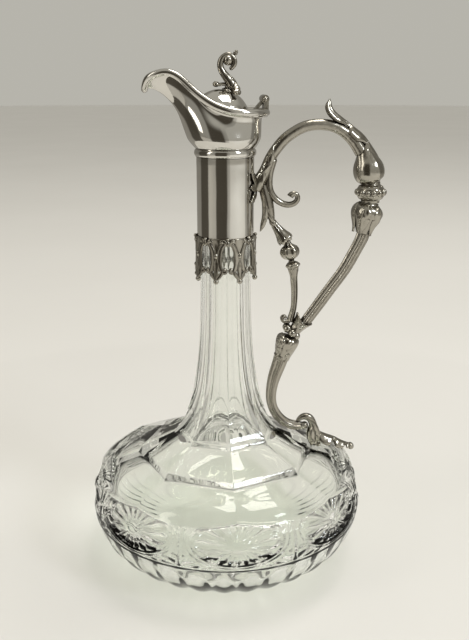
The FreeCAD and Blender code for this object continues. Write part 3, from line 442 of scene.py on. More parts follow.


# Each finish darkens its hollows and creases towards its dark colour, by the given strength: tarnish and
# painted shade
POLISHED = silver(
    "polished_plate_look", bright=(0.72, 0.70, 0.655), dark=(0.2, 0.165, 0.12), rough=0.05, wave=(55.0, 0.25),
    tarnish_and_shade=0.55, reach=2.5,
)
CAST = silver(
    "cast_plate_look", bright=(0.43, 0.405, 0.35), dark=(0.075, 0.06, 0.04), rough=0.11, wave=(240.0, 0.3),
    tarnish_and_shade=0.95, reach=3.5,
)
GLASS = cut_glass()
PLASTER = plaster()


# Glass body

COLUMNS = 768
turn = np.linspace(0, 2 * math.pi, COLUMNS, endpoint=False)
from_flat = turn % SIDE - SIDE / 2
from_corner = (turn + SIDE / 2) % SIDE - SIDE / 2
OVER_FLAT = math.cos(SIDE / 2) / np.cos(from_flat)
FLAT_MIDDLE = 1 - (np.tan(from_flat) / math.tan(SIDE / 2)) ** 2
BASE_PROFILE = [
    (45.2, 0.25), (52, 1.6), (65, 8), (74, 16), (79.3, 25), (81.7, 34), (82.3, 41), (82.0, 45), (80.3, 51),
    (77.6, 57.5), (75.0, 61.0), (71.0, 64.5),
]
NECK_PROFILE = [
    (30.1, 81.45), (27.2, 86.0), (23.9, 92.4), (20.9, 101.0), (18.7, 111.9), (16.9, 123.5), (15.7, 136.8),
    (14.95, 152.0), (14.45, 170.9), (14.2, 205.0), (14.2, 246.0),
]
CAVITY_PROFILE = [
    (9.82, 246.4), (9.8, 205.0), (10.0, 171.0), (10.9, 137.0), (12.5, 118.0), (15.0, 104.0), (18.6, 94.0),
    (24.0, 85.0), (30.0, 79.2), (40.0, 71.5), (52.0, 63.8), (64.0, 59.0), (71.0, 54.5), (75.3, 49.0),
    (77.2, 42.5), (76.4, 35.0), (72.5, 25.0), (66.5, 17.5), (58.0, 12.5), (47.0, 10.2), (30.0, 10.0),
    (12.0, 10.0),
]
RIDGE_EDGE = [(54.05, 66.5), (53.5, 67.3), (52.9, 68.2), (52.3, 69.1), (51.95, 69.6), (51.6, 69.85)]
SHOULDER_TOP = (32.1, 79.05)
NECK_FOOT = [(31.8, 79.25), (31.3, 79.9), (30.8, 80.6), (30.35, 81.2), (30.1, 81.45)]
PANEL_SLOPE = 0.344
PANEL_APOTHEM = 50.0
RIDGE_CORNER, RIDGE_HEIGHT = 54.1, 66.3
HUB_HEIGHT = 47.5
MEDALLION_HALF_WIDTH, MEDALLION_HALF_HEIGHT, MEDALLION_RISE = 27.5, 14.2, 2.0
MEDALLION_PETALS = 16
MEDALLION_FOOT = 34.0
LOWER_FLUTES = 32
FLUTE_TOP = 32.0
ARCH_FOOT, ARCH_RISE = 82.4, 11.4
NECK_CUT_FOOT, NECK_PLAIN, NECK_TOP = 81.6, 135.0, 246.0


def groove(distance, half, depth):
    """V cut of that half width and depth."""
    return depth * np.clip(1 - np.abs(distance) / half, 0, 1)


def belly_cuts(height, reach, rise):
    """Depth of the cutting on the belly at rise along the outline from the level of the hubs."""
    sideways = reach * from_corner
    spoke = np.hypot(sideways, rise)
    bearing = np.arctan2(rise, sideways)
    # The share is 1 on the medallion's oval edge, whose middle lies above the hub
    a = (np.cos(bearing) / MEDALLION_HALF_WIDTH) ** 2 + (np.sin(bearing) / MEDALLION_HALF_HEIGHT) ** 2
    b = -2 * np.sin(bearing) * MEDALLION_RISE / MEDALLION_HALF_HEIGHT ** 2
    c = (MEDALLION_RISE / MEDALLION_HALF_HEIGHT) ** 2 - 1
    share = spoke * (2 * a) / (-b + np.sqrt(b * b - 4 * a * c))
    petal = (bearing / (2 * math.pi) * MEDALLION_PETALS + 0.5) % 1 - 0.5
    reach_out = 0.9 - 0.13 * (2 * petal) ** 2
    hollow = np.clip(1 - (2 * petal) ** 2, 0, 1) ** 0.8
    along = ease(0.14, 0.5, share) * (1 - ease(reach_out - 0.10, reach_out + 0.015, share))
    inside = 1 - ease(0.92, 0.98, share)
    star = 0.5 * inside + 1.75 * hollow * along + 0.5 * ease(0.1, 0.3, share) * inside
    hub = -0.5 * np.clip(1 - (spoke / 4.4) ** 2, 0, 1)
    ring = groove(share - 1.03, 0.045, 0.7)
    post = np.abs(reach * (SIDE / 2 - np.abs(from_corner)))
    posts = groove(post, 1.3, 1.0) * (share > 1.0)
    corner = 0.7 * ease(1.06, 1.3, share) * (post > 1.6) * (0.5 + 0.5 * np.cos(bearing * 40))
    upper = np.where(share < 1, star + hub, ring + posts + corner)
    upper = upper * ease(MEDALLION_FOOT, MEDALLION_FOOT + 1.4, height)
    band = groove(height - 33.4, 0.9, 0.55)
    flute = (turn / (2 * math.pi) * LOWER_FLUTES + 0.5) % 1 - 0.5
    top = FLUTE_TOP - 2.6 * (2 * flute) ** 2
    deep = 0.7 + 0.35 * (1 - ease(12.0, 22.0, height))
    low = deep * (0.5 + 0.5 * np.cos(2 * math.pi * flute))
    low = low * ease(0.0, 9.0, top - height) * ease(1.0, 6.0, height)
    return np.maximum(np.maximum(upper, band), low)


def belly_rows():
    """Rows from the foot to the line of arches, then up the flat panels to the ridge."""
    profile = smooth(BASE_PROFILE, 1200, room=2)
    length = np.concatenate([[0], np.cumsum(np.linalg.norm(np.diff(profile, axis=0), axis=1))])
    slope = unit(np.gradient(profile, axis=0))
    normal = np.stack([slope[:, 1], -slope[:, 0]], 1)
    hub = np.interp(HUB_HEIGHT, profile[:, 1], length)
    panel = PANEL_APOTHEM + (RIDGE_HEIGHT - profile[:, 1]) / PANEL_SLOPE
    ends = np.zeros(COLUMNS)
    for index in range(COLUMNS):
        over = profile[:, 0] * math.cos(from_flat[index]) - panel
        spot = np.nonzero((over > 0) & (profile[:, 1] > HUB_HEIGHT))[0][0]
        share = over[spot - 1] / (over[spot - 1] - over[spot])
        ends[index] = length[spot - 1] + share * (length[spot] - length[spot - 1])
    out = []
    for step in np.linspace(0, 1, 200):
        place = ends * step
        reach = np.interp(place, length, profile[:, 0])
        height = np.interp(place, length, profile[:, 1])
        cut = belly_cuts(height, reach, place - hub) * ease(0.0, 1.0, ends - place) * ease(0.0, 2.0, place)
        across = np.interp(place, length, normal[:, 0])
        over = np.interp(place, length, normal[:, 1])
        out.append((reach - across * cut, height - over * cut))
    reach, height = out[-1]
    ridge = RIDGE_CORNER * OVER_FLAT
    for step in np.linspace(0, 1, 14)[1:]:
        out.append((reach + (ridge - reach) * step, height + (RIDGE_HEIGHT - height) * step))
    return out


def neck_rows():
    """Rows of the octagonal chamfers, the sloping shoulder and the neck with its arches."""
    shoulder = np.linspace(RIDGE_EDGE[-1], SHOULDER_TOP, 12)[1:]
    out = [(corner * OVER_FLAT, height) for corner, height in [*RIDGE_EDGE, *shoulder, *NECK_FOOT]]
    profile = smooth(NECK_PROFILE, 600, room=2)
    across = (turn / SIDE + 1) % 2 - 1
    arch = ARCH_FOOT + ARCH_RISE * np.clip(1 - (across / 0.94) ** 2, 0, 1) ** 0.6
    arch = arch - 0.7 * np.clip(1 - np.abs(across) / 0.14, 0, 1)
    levels = []
    for step in np.linspace(0, 1, 26):
        cut = 0.55 * ease(0.0, 0.1, step) + 0.35 * ease(0.93, 1.0, step)
        levels.append((NECK_CUT_FOOT + (arch - NECK_CUT_FOOT) * step, cut))
    levels += [(arch + 0.2, 0.4), (arch + 0.4, 0.0)]
    for step in np.linspace(0, 1, 46)[1:]:
        levels.append((arch + 0.4 + (NECK_PLAIN - arch - 0.4) * step, 0.0))
    levels += [(height, 0.0) for height in np.linspace(NECK_PLAIN, NECK_TOP, 34)[1:]]
    for height, cut in levels:
        corner = np.interp(height, profile[:, 1], profile[:, 0])
        hollow = np.interp(height, [81, 95, 130, NECK_TOP], [0.25, 0.75, 0.5, 0.35]) * FLAT_MIDDLE
        out.append((corner * OVER_FLAT - hollow * (cut < 0.1) - cut, height))
    return out + [(14.0 * OVER_FLAT, 246.5), (13.6 * OVER_FLAT, 246.6)]


def glass_skin():
    """The whole body: hollow under the foot, belly, neck, and back down inside."""
    under = [(reach, 0.9 * (1 - ease(30.0, 43.5, reach))) for reach in np.linspace(0.5, 44.2, 30)]
    inside = [(12.9, 246.6), (10.3, 246.6), *smooth(CAVITY_PROFILE, 150, room=2)]
    rows = [*under, *belly_rows(), *neck_rows(), *inside]
    rows = np.array([np.broadcast_arrays(*row, turn) for row in rows])
    reach, height, angle = rows.transpose(1, 0, 2)
    points = np.stack([reach * np.cos(angle), reach * np.sin(angle), height], 2)
    return Skin().grid(points, ends=(True, True))


piece("cut_body", glass_skin(), GLASS, "jug", ["glass_body"])


# Sleeve and band, as (radius, height)

SLEEVE_PROFILE = [
    (15.4, 196.6), (15.9, 196.5), (16.1, 196.7), (16.15, 197.1), (16.1, 199.0), (16.1, 239.0),
    (16.15, 240.6), (16.15, 242.6), (16.1, 243.4), (16.1, 244.2), (15.6, 244.4),
]
BAND_PROFILE = [
    (15.4, 244.4), (16.2, 244.4), (16.55, 244.55), (16.6, 244.9), (16.95, 245.2), (17.25, 245.9),
    (17.3, 246.8), (17.2, 247.6), (16.9, 248.3), (16.5, 248.6), (16.45, 248.9), (16.2, 249.15),
    (13.5, 249.2), (10.6, 249.1), (10.4, 248.6), (10.4, 246.8),
]
sleeve = lathe(Skin(), SLEEVE_PROFILE, count=128, rows=0)
piece("plate_sleeve", sleeve, POLISHED, "jug", ["collar_sleeve"], sharp=40)
band = lathe(Skin(), BAND_PROFILE, count=128, rows=0)
piece("neck_bead", band, POLISHED, "jug", ["neck_band"], sharp=35)


# Pierced border

BORDER_REACH = 16.95
PITCH = BORDER_REACH * SIDE


def on_sleeve(place, height, reach):
    """Points at arc lengths round the sleeve, at heights and radii."""
    angle = np.asarray(place, float) / BORDER_REACH
    return np.stack([reach * np.cos(angle), reach * np.sin(angle), np.asarray(height, float)], -1)


def border_strip(skin, middle, rows, count, way=1):
    """Strip through rows of (sideways, height, half width, half thickness, radius)."""
    line = smooth(rows, count)
    path = on_sleeve(line[:, 0] * way + middle, line[:, 1], line[:, 4])
    sweep(skin, path, line[:, 2] * 1.22, line[:, 3] * 1.2, lift=unit(path * np.array([1, 1, 0])), count=14,
          section=lambda angle, share:
          1 - 0.22 * np.exp(-(np.abs(angle - math.pi / 2) / 0.32) ** 2) * np.sin(math.pi * share))


OVAL = [
    (0.3, 198.4, 0.7, 0.55, 16.7), (1.9, 197.9, 0.95, 0.6, 16.8), (3.7, 195.6, 1.15, 0.65, 16.85),
    (4.9, 191.6, 1.35, 0.7, 16.9), (4.95, 187.4, 1.3, 0.7, 16.9), (4.1, 183.9, 1.15, 0.7, 16.9),
    (2.7, 182.0, 1.0, 0.65, 16.9), (1.35, 182.0, 0.85, 0.6, 17.0), (1.0, 183.2, 0.7, 0.55, 17.1),
    (1.7, 184.0, 0.6, 0.5, 17.2),
]
CREST = [
    (0.5, 197.6, 0.6, 0.5, 16.9), (1.9, 199.1, 0.95, 0.6, 17.0), (3.4, 199.4, 0.9, 0.55, 16.95),
    (4.3, 198.3, 0.45, 0.4, 16.8),
]
KEY = [(0, 196.9, 0.5, 0.5, 16.9), (0, 198.2, 1.0, 0.7, 17.1), (0, 199.4, 0.6, 0.5, 16.9)]
WEB = [
    (0, 200.2, 2.9, 0.45, 16.55), (0, 198.0, 2.5, 0.45, 16.55), (0, 195.6, 1.6, 0.45, 16.6),
    (0, 192.6, 0.7, 0.45, 16.7),
]
DROP = [
    (0, 189.0, 1.0, 0.5, 16.9), (0, 186.5, 1.5, 0.75, 17.0), (0, 183.5, 1.35, 0.8, 17.15),
    (0, 180.5, 0.95, 0.75, 17.3), (0, 178.6, 0.7, 0.6, 17.5), (0, 177.4, 0.55, 0.5, 17.6),
]
FORK = [
    (3.3, 182.6, 0.75, 0.6, 17.0), (2.8, 181.2, 0.95, 0.7, 17.15), (1.8, 179.7, 1.0, 0.75, 17.3),
    (0.7, 178.2, 0.8, 0.7, 17.5), (0.2, 177.2, 0.6, 0.55, 17.55),
]
border = Skin()
for oval in range(8):
    middle = oval * PITCH
    between = middle + PITCH / 2
    for way in (-1, 1):
        border_strip(border, middle, OVAL, 40, way)
        ball(border, on_sleeve(middle + 1.9 * way, 183.5, 17.3), 0.85, count=14)
        border_strip(border, middle, CREST, 20, way)
        ball(border, on_sleeve(middle + 3.1 * way, 198.9, 17.25), 0.75, count=14)
        border_strip(border, between, FORK, 24, way)
    border_strip(border, middle, KEY, 14)
    ball(border, on_sleeve(middle, 200.4, 17.15), 1.0, count=16)
    border_strip(border, between, WEB, 20)
    ball(border, on_sleeve(between, 191.2, 17.25), 1.15, (1, 1, 1.5), count=16)
    border_strip(border, between, DROP, 24)
    ball(border, on_sleeve(between, 176.7, 17.5), 1.55, count=18)
piece("border_of_drops", border, CAST, "jug", ["gallery_border"])


# Head and lip wire

HALF_RIM = [
    (22.2, 0, 268.0), (20.3, 8.5, 268.0), (14.4, 15.2, 268.0), (6.6, 18.6, 268.4), (-2.45, 18.8, 270.4),
    (-10.75, 16.9, 274.4), (-18.1, 14.2, 280.0), (-24.4, 11.9, 285.8), (-30.8, 10.2, 288.9),
    (-37.3, 8.5, 288.1), (-42.2, 5.4, 284.9), (-43.6, 0, 280.2),
]
RIM_POINTS = 176
BACK_WIRE, SPOUT_WIRE = 2.35, 1.8
HEAD_FOOT_RADIUS, HEAD_FOOT_HEIGHT = 16.9, 249.2
HEAD_WALL = 1.1
rim = HALF_RIM + [(x, -y, z) for x, y, z in HALF_RIM[-2:0:-1]]
rim_line = smooth(rim, RIM_POINTS, closed=True, even=False)
rim_turn = np.linspace(0, 2 * math.pi, RIM_POINTS, endpoint=False)
toward_spout = (1 - np.cos(rim_turn)) / 2
wire_radius = BACK_WIRE + toward_spout * (SPOUT_WIRE - BACK_WIRE)


def head_rows(count):
    """Outer skin of the head from the band to the wire, with a round cup above the band."""
    out = np.stack([np.cos(rim_turn), np.sin(rim_turn), 0 * rim_turn], 1)
    base = out * HEAD_FOOT_RADIUS + UP * HEAD_FOOT_HEIGHT
    reach = np.linalg.norm(rim_line - base, axis=1)[:, None]
    leave = (out * 0.12 + UP) * reach
    arrive = unit(out * 0.9 + UP * (0.75 - 0.95 * toward_spout)[:, None])
    end = rim_line - arrive * (wire_radius * 0.6)[:, None]
    arrive = arrive * reach * 0.75
    rows = []
    for level in np.linspace(0, 1, count):
        square, cube = level ** 2, level ** 3
        row = base * (2 * cube - 3 * square + 1) + leave * (cube - 2 * square + level)
        row = row + end * (3 * square - 2 * cube) + arrive * (cube - square)
        rise = row[:, 2:] - base[:, 2:]
        cup = np.sin(math.pi / 2 * np.clip(rise / 6.3, 0, 1))
        cup = cup * (1 - 0.75 * ease(8.0, 26.0, rise)) * (1 - cube)
        rows.append(row + out * cup * (2.4 + 0.7 * toward_spout)[:, None])
    return np.array(rows)


def head_skin():
    """The head with its wall and a small fillet at its foot."""
    outer = head_rows(48)
    across = np.roll(outer, -1, 1) - np.roll(outer, 1, 1)
    inner = outer - unit(np.cross(across, np.gradient(outer, axis=0))) * HEAD_WALL
    inner[0, :, 2] = outer[0, :, 2]
    fillet = outer[0] + (outer[0] - inner[0]) * 0.25 + UP * 0.25
    return Skin().grid(np.concatenate([outer[:1], fillet[None], outer[2:], inner[::-1]]), along=True)


piece("spout_bowl", head_skin(), POLISHED, "jug", ["spout_head"])
wire = Skin()
sweep(wire, rim_line, wire_radius, lift=UP, closed=True, count=28, section=lambda angle, share:
      1 - 0.10 * np.exp(-(((angle - 0.75 * math.pi) % (2 * math.pi) - math.pi) / 0.18) ** 2))
piece("rolled_lip", wire, POLISHED, "jug", ["lip_wire"])


# Shared by the castings

def cast(name, skin, node, body="jug"):
    piece(name, skin, CAST, body, [node])


def creased(low, low_width, high, high_width):
    """Section with a hollow along its lower and its upper side."""
    return lambda angle, share: (
        1 - low * np.exp(-(((angle - 1.5 * math.pi) / low_width) ** 2))
        - high * np.exp(-(((angle - 0.5 * math.pi) / high_width) ** 2)))


def fluted(count, depth):
    """Section with hollows between sharp ribs, which fade at both ends."""
    return lambda angle, share: (
        1 - depth * (1 - np.abs(np.cos(count * angle / 2)) ** 3.0) * ease(0.0, 0.06, share)
        * (1 - ease(0.97, 1.0, share)))


# Lid finial

FINIAL_FOOT = np.array([1.784, 0.0, 279.709])
LID_NORMAL = np.array([0.2756, 0.0, 0.9613])
rosette = lathe(
    Skin(), [(3.4, -1.6), (3.5, 0.0), (2.9, 0.5), (2.3, 0.9), (2.2, 1.3), (2.7, 1.7), (2.6, 2.0), (2.0, 2.1)],
    FINIAL_FOOT, LID_NORMAL, count=72, rows=30, relief=lambda angle, share:
    0.16 * np.cos(9 * angle) * ease(0.05, 0.3, share) * (1 - ease(0.6, 0.8, share)))
cast("finial_rosette", rosette, "finial_base", "lid")

scroll = Skin()
tube(scroll, [
    (3.9, 280.1, 2.4), (3.8, 281.7, 3.0), (2.6, 284.1, 2.9), (0.2, 287.2, 2.4), (-2.1, 290.7, 2.0),
    (-2.5, 294.2, 1.8), (-1.0, 296.9, 1.65), (1.8, 298.1, 1.55), (4.5, 296.6, 1.5), (5.2, 293.6, 1.5),
    (3.6, 291.3, 1.3),
], 120, section=creased(0.16, 0.35, 0.12, 0.3))
twin_leaves(
    scroll, [(4.6, 0.9, 279.6), (5.4, 1.5, 281.3), (4.9, 1.7, 283.6), (3.4, 1.4, 286.0), (1.6, 1.0, 288.4)],
    [0.6, 1.5, 1.6, 1.1, 0.25], 0.45, (0.35, 1, 0.2), cup=-0.15, veins=5, depth=0.12, rows=36, across=9)
twin_leaves(
    scroll, [(5.2, 2.0, 283.4), (6.2, 3.8, 281.6), (6.2, 6.0, 279.9), (5.6, 8.2, 278.5), (4.8, 9.8, 277.9)],
    [0.9, 2.0, 2.3, 1.9, 0.5], 0.5, (0.3, 0.5, 0.9), cup=-0.2, rib=0.5, veins=4, depth=0.14, notches=2,
    rows=40, across=11)
for way in (-1, 1):
    ball(scroll, (5.6, 9.4 * way, 278.3), 0.8, count=12)
ball(scroll, (5.3, 0, 279.2), 1.1, (1, 1.6, 1), count=16)
ball(scroll, (6.3, 0, 280.0), 0.55, count=10)
cast("finial_curve", scroll, "finial_scroll", "lid")

orb = lathe(
    Skin(), [(0.1, -2.8), (1.4, -2.45), (2.35, -1.55), (2.8, -0.2), (2.7, 0.8), (2.0, 2.0), (1.05, 2.6),
             (0.1, 2.8)],
    (1.7, 0, 295.3), UP, count=48, rows=24,
    relief=lambda angle, share: 0.05 * np.cos(6 * angle) * np.sin(math.pi * share))
cast("finial_orb", orb, "finial_ball", "lid")

bud = Skin()
tube(bud, [(3.8, 297.0, 0.7), (4.8, 298.2, 0.6), (5.6, 299.1, 0.9), (6.1, 299.6, 1.0)], 20, count=14)
lathe(bud, [(0.5, -1.0), (1.1, -0.5), (1.2, 0.1), (0.9, 0.7), (0.3, 1.15)], (5.6, 0, 298.9), (0.6, 0, 0.8),
      count=40, rows=16, relief=lambda angle, share: 0.12 * np.cos(5 * angle) * np.sin(math.pi * share))
cast("finial_tip", bud, "finial_bud", "lid")

sprig = Skin()
leaf(sprig, [(1.4, 0, 282.2), (-1.2, 0, 282.9), (-3.6, 0, 282.6), (-5.4, 0, 283.1), (-6.3, 0, 283.9)],
     [1.0, 1.5, 1.8, 1.5, 0.6], 0.8, UP, cup=-0.25, veins=4, rows=36, across=9)
ball(sprig, (-4.9, 0, 282.9), 1.75, (1.1, 1, 0.85), count=18)
cast("finial_sprig", sprig, "finial_leaf", "lid")


# Handle: lug and arch

LUG_REACH = 16.2
LUG_HEIGHT = 227.0
lug = Skin()
for way in (-1, 1):
    for rise, far in ((8.0, 9.6), (-6.4, 10.6), (0.9, 11.0)):
        rows = np.array([
            (0.5, 0, 0.9), (3.0, rise * 0.25, 1.0), (5.8, rise * 0.62, 0.8), (8.2, rise * 0.95, 0.6),
            (far, rise * 1.06, 0.75),
        ])
        angle = rows[:, 0] * way / LUG_REACH
        reach = LUG_REACH + rows[:, 2]
        line = np.stack([reach * np.cos(angle), reach * np.sin(angle), LUG_HEIGHT + rows[:, 1]], -1)
        leaf(lug, line, [1.6, 2.3, 2.5, 1.8, 0.5], 0.5, unit(line[2] * np.array([1, 1, 0])), cup=0.12, rib=0.5,
             veins=5, depth=0.16, notches=3, bite=0.25, rows=40, across=11)
lathe(lug, [(4.6, -0.4), (4.8, 0.4), (4.3, 0.9), (3.9, 1.15), (3.2, 1.3)], (LUG_REACH, 0, LUG_HEIGHT), ALONG,
      count=64, rows=18, relief=lambda angle, share: 0.3 * np.cos(8 * angle) * (share < 0.9))
cast("lug_leaves", lug, "handle_lug")

arch = Skin()
arch_line = tube(arch, [
    (16.4, 226.2, 4.0), (19.8, 231.5, 3.75), (22.5, 236.3, 3.4), (24.9, 242.3, 3.15), (28.9, 248.6, 3.1),
    (33.3, 253.6, 3.1), (38.4, 257.3, 3.1), (43.4, 259.9, 3.1), (49.9, 261.3, 3.1), (56.2, 261.2, 3.1),
    (62.2, 259.8, 3.15), (67.9, 256.5, 3.3), (72.5, 252.2, 3.5), (77.0, 246.2, 3.9),
], 200, count=32, ends=(0, 0))
for start, way, face in ((9, -1, 1), (22, 1, 1), (36, -1, 1), (12, 1, -1), (30, -1, -1)):
    # Overlapping leaf sheaths that climb the root of the arch
    span = arch_line[start:start + 26:5]
    rise = unit(np.cross(ACROSS, tangents(span[:, :3])))
    twist = np.linspace(-0.7, 0.9, len(span)) * way
    spoke = ACROSS * (-face * np.cos(twist))[:, None] + rise * np.sin(twist)[:, None]
    centre = span[:, :3] + spoke * (span[:, 3] - 0.35)[:, None]
    leaf(arch, centre, [0.6, 1.7, 2.0, 1.5, 0.9, 0.2], 0.62, spoke, cup=-0.16, rib=0.4, rows=36, across=11)
cast("arch_stem", arch, "handle_arch")

arch_leaf = draped(Skin(), [
    (58.2, 275.4, 0.3), (58.7, 273.3, 1.4), (59.3, 271.0, 2.2), (61.0, 268.6, 2.8), (64.6, 265.6, 3.4),
    (69.0, 262.4, 3.9), (73.4, 259.1, 4.3), (77.6, 255.8, 4.5), (81.0, 251.8, 4.7), (84.0, 247.8, 4.8),
    (86.8, 243.6, 4.6), (88.9, 239.4, 3.6), (90.0, 235.9, 1.2),
], [0.2, 2.4, 3.4, 3.8, 3.7, 4.4, 5.2, 5.4, 5.8, 6.2, 5.8, 4.2, 1.2], ends=(0.37, 0.645), bite=0.62)
cast("arch_acanthus", arch_leaf, "arch_leaf")


# Handle: knops, as (radius, height) on their own axes

UPPER_KNOP_FOOT = np.array([83.4, 0.0, 229.5])
UPPER_KNOP_AXIS = np.array([-math.sin(math.radians(15)), 0.0, math.cos(math.radians(15))])
upper = lathe(Skin(), [
    (5.0, -0.8), (5.5, 0.0), (7.1, 1.1), (8.4, 3.2), (8.85, 5.8), (8.6, 8.6), (7.5, 11.6), (6.0, 14.2),
    (4.8, 16.4), (3.9, 18.2), (3.4, 19.2),
], UPPER_KNOP_FOOT, UPPER_KNOP_AXIS, count=120, rows=60, relief=lambda angle, share:
    (0.3 * np.abs(np.cos(2 * angle + 0.6)) ** 0.5 - 0.3) * np.sin(math.pi * share) ** 0.7)
petals(upper, 4, 0.3, UPPER_KNOP_FOOT, UPPER_KNOP_AXIS,
       [(6.6, 0.9), (8.3, 3.2), (8.75, 6.2), (8.3, 9.4), (7.0, 12.6), (5.5, 15.4), (4.5, 17.4)],
       [1.8, 3.6, 4.3, 3.9, 2.9, 1.6, 0.3], 0.42, cup=-0.24, rows=48)
cast("knop_of_leaves", upper, "upper_knop")

RING_CENTRE = np.array([83.4, 0.0, 223.6])
HALF_RING = [(7.9, 0.0), (7.8, 1.9), (7.2, 2.9), (6.4, 3.7), (5.5, 4.4), (5.3, 5.0), (5.2, 5.9)]
ring_outline = [(out, -up) for out, up in HALF_RING[:0:-1]] + HALF_RING
ring = lathe(Skin(), ring_outline, RING_CENTRE, UP, count=96, rows=52)
for bead in range(14):
    bearing = 2 * math.pi * (bead + 0.5) / 14
    out = np.array([math.cos(bearing), math.sin(bearing), 0])
    ball(ring, RING_CENTRE + out * 7.6, 1.58, (1, 1, 1.25), count=18)
    for side in (-1, 1):
        ball(ring, RING_CENTRE + out * 6.35 + UP * 3.2 * side, 0.7, count=10)
cast("knop_of_beads", ring, "ring_knop")

LOWER_KNOP_TOP = np.array([83.4, 0.0, 217.7])
LOWER_KNOP_AXIS = unit(np.array([0.21, 0.0, 0.978]))
lower = lathe(Skin(), [
    (4.9, 0.1), (5.3, -1.0), (7.4, -2.4), (8.7, -4.4), (9.0, -6.4), (8.3, -9.2), (7.0, -12.0), (5.8, -14.6),
    (4.8, -16.6), (4.1, -18.2),
], LOWER_KNOP_TOP, LOWER_KNOP_AXIS, count=120, rows=56, relief=lambda angle, share:
    -0.5 * np.sin(math.pi * share) - 0.4 * np.abs(np.sin(2.5 * angle)) * ease(0.35, 0.9, share))
petals(lower, 5, 0.35, LOWER_KNOP_TOP, LOWER_KNOP_AXIS,
       [(5.4, -1.0), (7.7, -2.8), (8.9, -5.6), (8.4, -9.0), (7.1, -12.2), (6.0, -15.2), (5.5, -18.4)],
       [1.5, 3.4, 4.5, 4.2, 3.2, 2.0, 0.3], 0.55, cup=-0.25, rib=0.6, veins=3, depth=0.14, notches=2, rows=48)
cast("knop_of_tips", lower, "lower_knop")


# Handle: curl and chain of drops

curl = Skin()
tube(curl, [
    (26.6, 241.8, 2.5), (25.0, 235.6, 2.3), (24.7, 229.2, 2.1), (26.0, 223.8, 1.95), (29.6, 219.5, 1.85),
    (34.2, 217.2, 1.8), (38.4, 217.4, 1.7), (40.9, 219.5, 1.55), (41.0, 221.9, 1.45), (39.3, 223.2, 1.5),
    (37.6, 222.6, 1.75), (36.9, 221.6, 1.9),
], 120, ends=(1, 0))
cast("arch_curl", curl, "inner_curl")

branch = Skin()
tube(branch, [
    (21.4, 228.4, 2.6), (22.6, 223.4, 3.0), (24.0, 218.6, 3.2), (25.2, 213.8, 2.8), (26.2, 210.0, 2.1),
    (26.8, 207.6, 1.5),
], 70, ends=(0, 0), section=lambda angle, share: 1 - 0.14 * np.abs(np.sin(2 * angle)) * (1 - share))
twin_leaves(
    branch, [(21.6, 1.1, 224.5), (22.4, 1.9, 219.0), (22.8, 1.8, 213.5), (21.9, 1.2, 208.0),
             (20.6, 0.5, 203.6), (20.0, 0.1, 201.9)],
    [0.6, 1.7, 1.9, 1.5, 0.9, 0.2], 0.5, (-0.3, 1, 0.0), cup=-0.2, rib=0.5, veins=4, rows=40, across=11)
twin_leaves(
    branch, [(23.4, 1.0, 219.5), (24.5, 1.8, 214.6), (26.0, 1.9, 210.6), (27.6, 1.5, 207.4),
             (28.3, 0.8, 205.2)],
    [0.5, 1.3, 1.5, 1.0, 0.2], 0.45, (0.3, 1, 0.1), cup=-0.2, rib=0.5, rows=32, across=9)
cast("branch_leaves", branch, "drop_branch")

BELL_TOP, BELL_MOUTH = np.array([26.3, 0.0, 208.3]), np.array([35.2, 0.0, 196.2])
bell_axis = unit(BELL_MOUTH - BELL_TOP)
bell = lathe(
    Skin(), [(1.2, -0.3), (1.8, 0.4), (2.0, 3.6), (2.5, 7.6), (3.4, 11.0), (4.3, 13.6),
             (3.7, 14.6), (1.8, 14.8)],
    BELL_TOP, bell_axis, count=72, rows=44, relief=lambda angle, share:
    -0.42 * np.abs(np.sin(2.5 * angle)) ** 0.8 * ease(0.15, 0.8, share) * (share < 0.93))
petals(bell, 5, 0.2, BELL_TOP, bell_axis,
       [(1.6, 1.0), (2.1, 4.6), (2.8, 8.2), (3.8, 11.4), (4.6, 13.8), (4.5, 15.4)],
       [0.5, 1.2, 1.8, 2.5, 1.9, 0.3], 0.4, sink=0.2, cup=-0.2, rib=0.5, rows=36, across=11)
cast("bell_of_petals", bell, "drop_bell")

DROP_HEAD, DROP_FOOT = np.array([35.95, 0.0, 196.3]), np.array([38.53, 0.0, 183.7])
drop = lathe(
    Skin(), [(1.7, 0.2), (1.8, 1.6), (3.0, 2.8), (5.0, 4.4), (5.75, 6.6), (5.4, 8.6),
             (3.9, 10.4), (2.1, 11.3)],
    DROP_HEAD, DROP_FOOT - DROP_HEAD, count=90, rows=44, relief=lambda angle, share:
    -0.75 * np.abs(np.sin(3 * angle)) ** 2.2 * np.sin(math.pi * share) ** 0.7)
cast("lobed_knop", drop, "drop_knop")

baluster = Skin()
tube(baluster, [
    (38.3, 184.6, 1.75), (38.9, 182.9, 1.9), (39.3, 181.2, 2.9), (39.6, 179.0, 3.1), (39.9, 176.0, 2.4),
    (40.2, 172.0, 2.1), (40.6, 166.0, 1.95), (40.6, 160.5, 1.85), (40.3, 156.0, 1.8), (39.3, 151.6, 2.0),
    (38.2, 147.6, 2.3),
], 110, count=32, ends=(0, 0),
     section=lambda angle, share: 1 - 0.16 * np.abs(np.sin(2 * angle)) ** 1.5 * ease(0.18, 0.4, share))
lathe(baluster, [(2.0, -2.3), (3.9, -1.0), (4.5, 0.1), (3.9, 0.9), (3.0, 2.4), (2.3, 3.2)], (39.35, 0, 181.6),
      (0.14, 0.0, -0.99), count=64, rows=30, relief=lambda angle, share:
      -0.5 * np.abs(np.sin(3 * angle + 0.4)) ** 1.2 * ease(0.2, 0.5, share))
cast("drop_baluster", baluster, "drop_stem")


# Handle: grip and junction

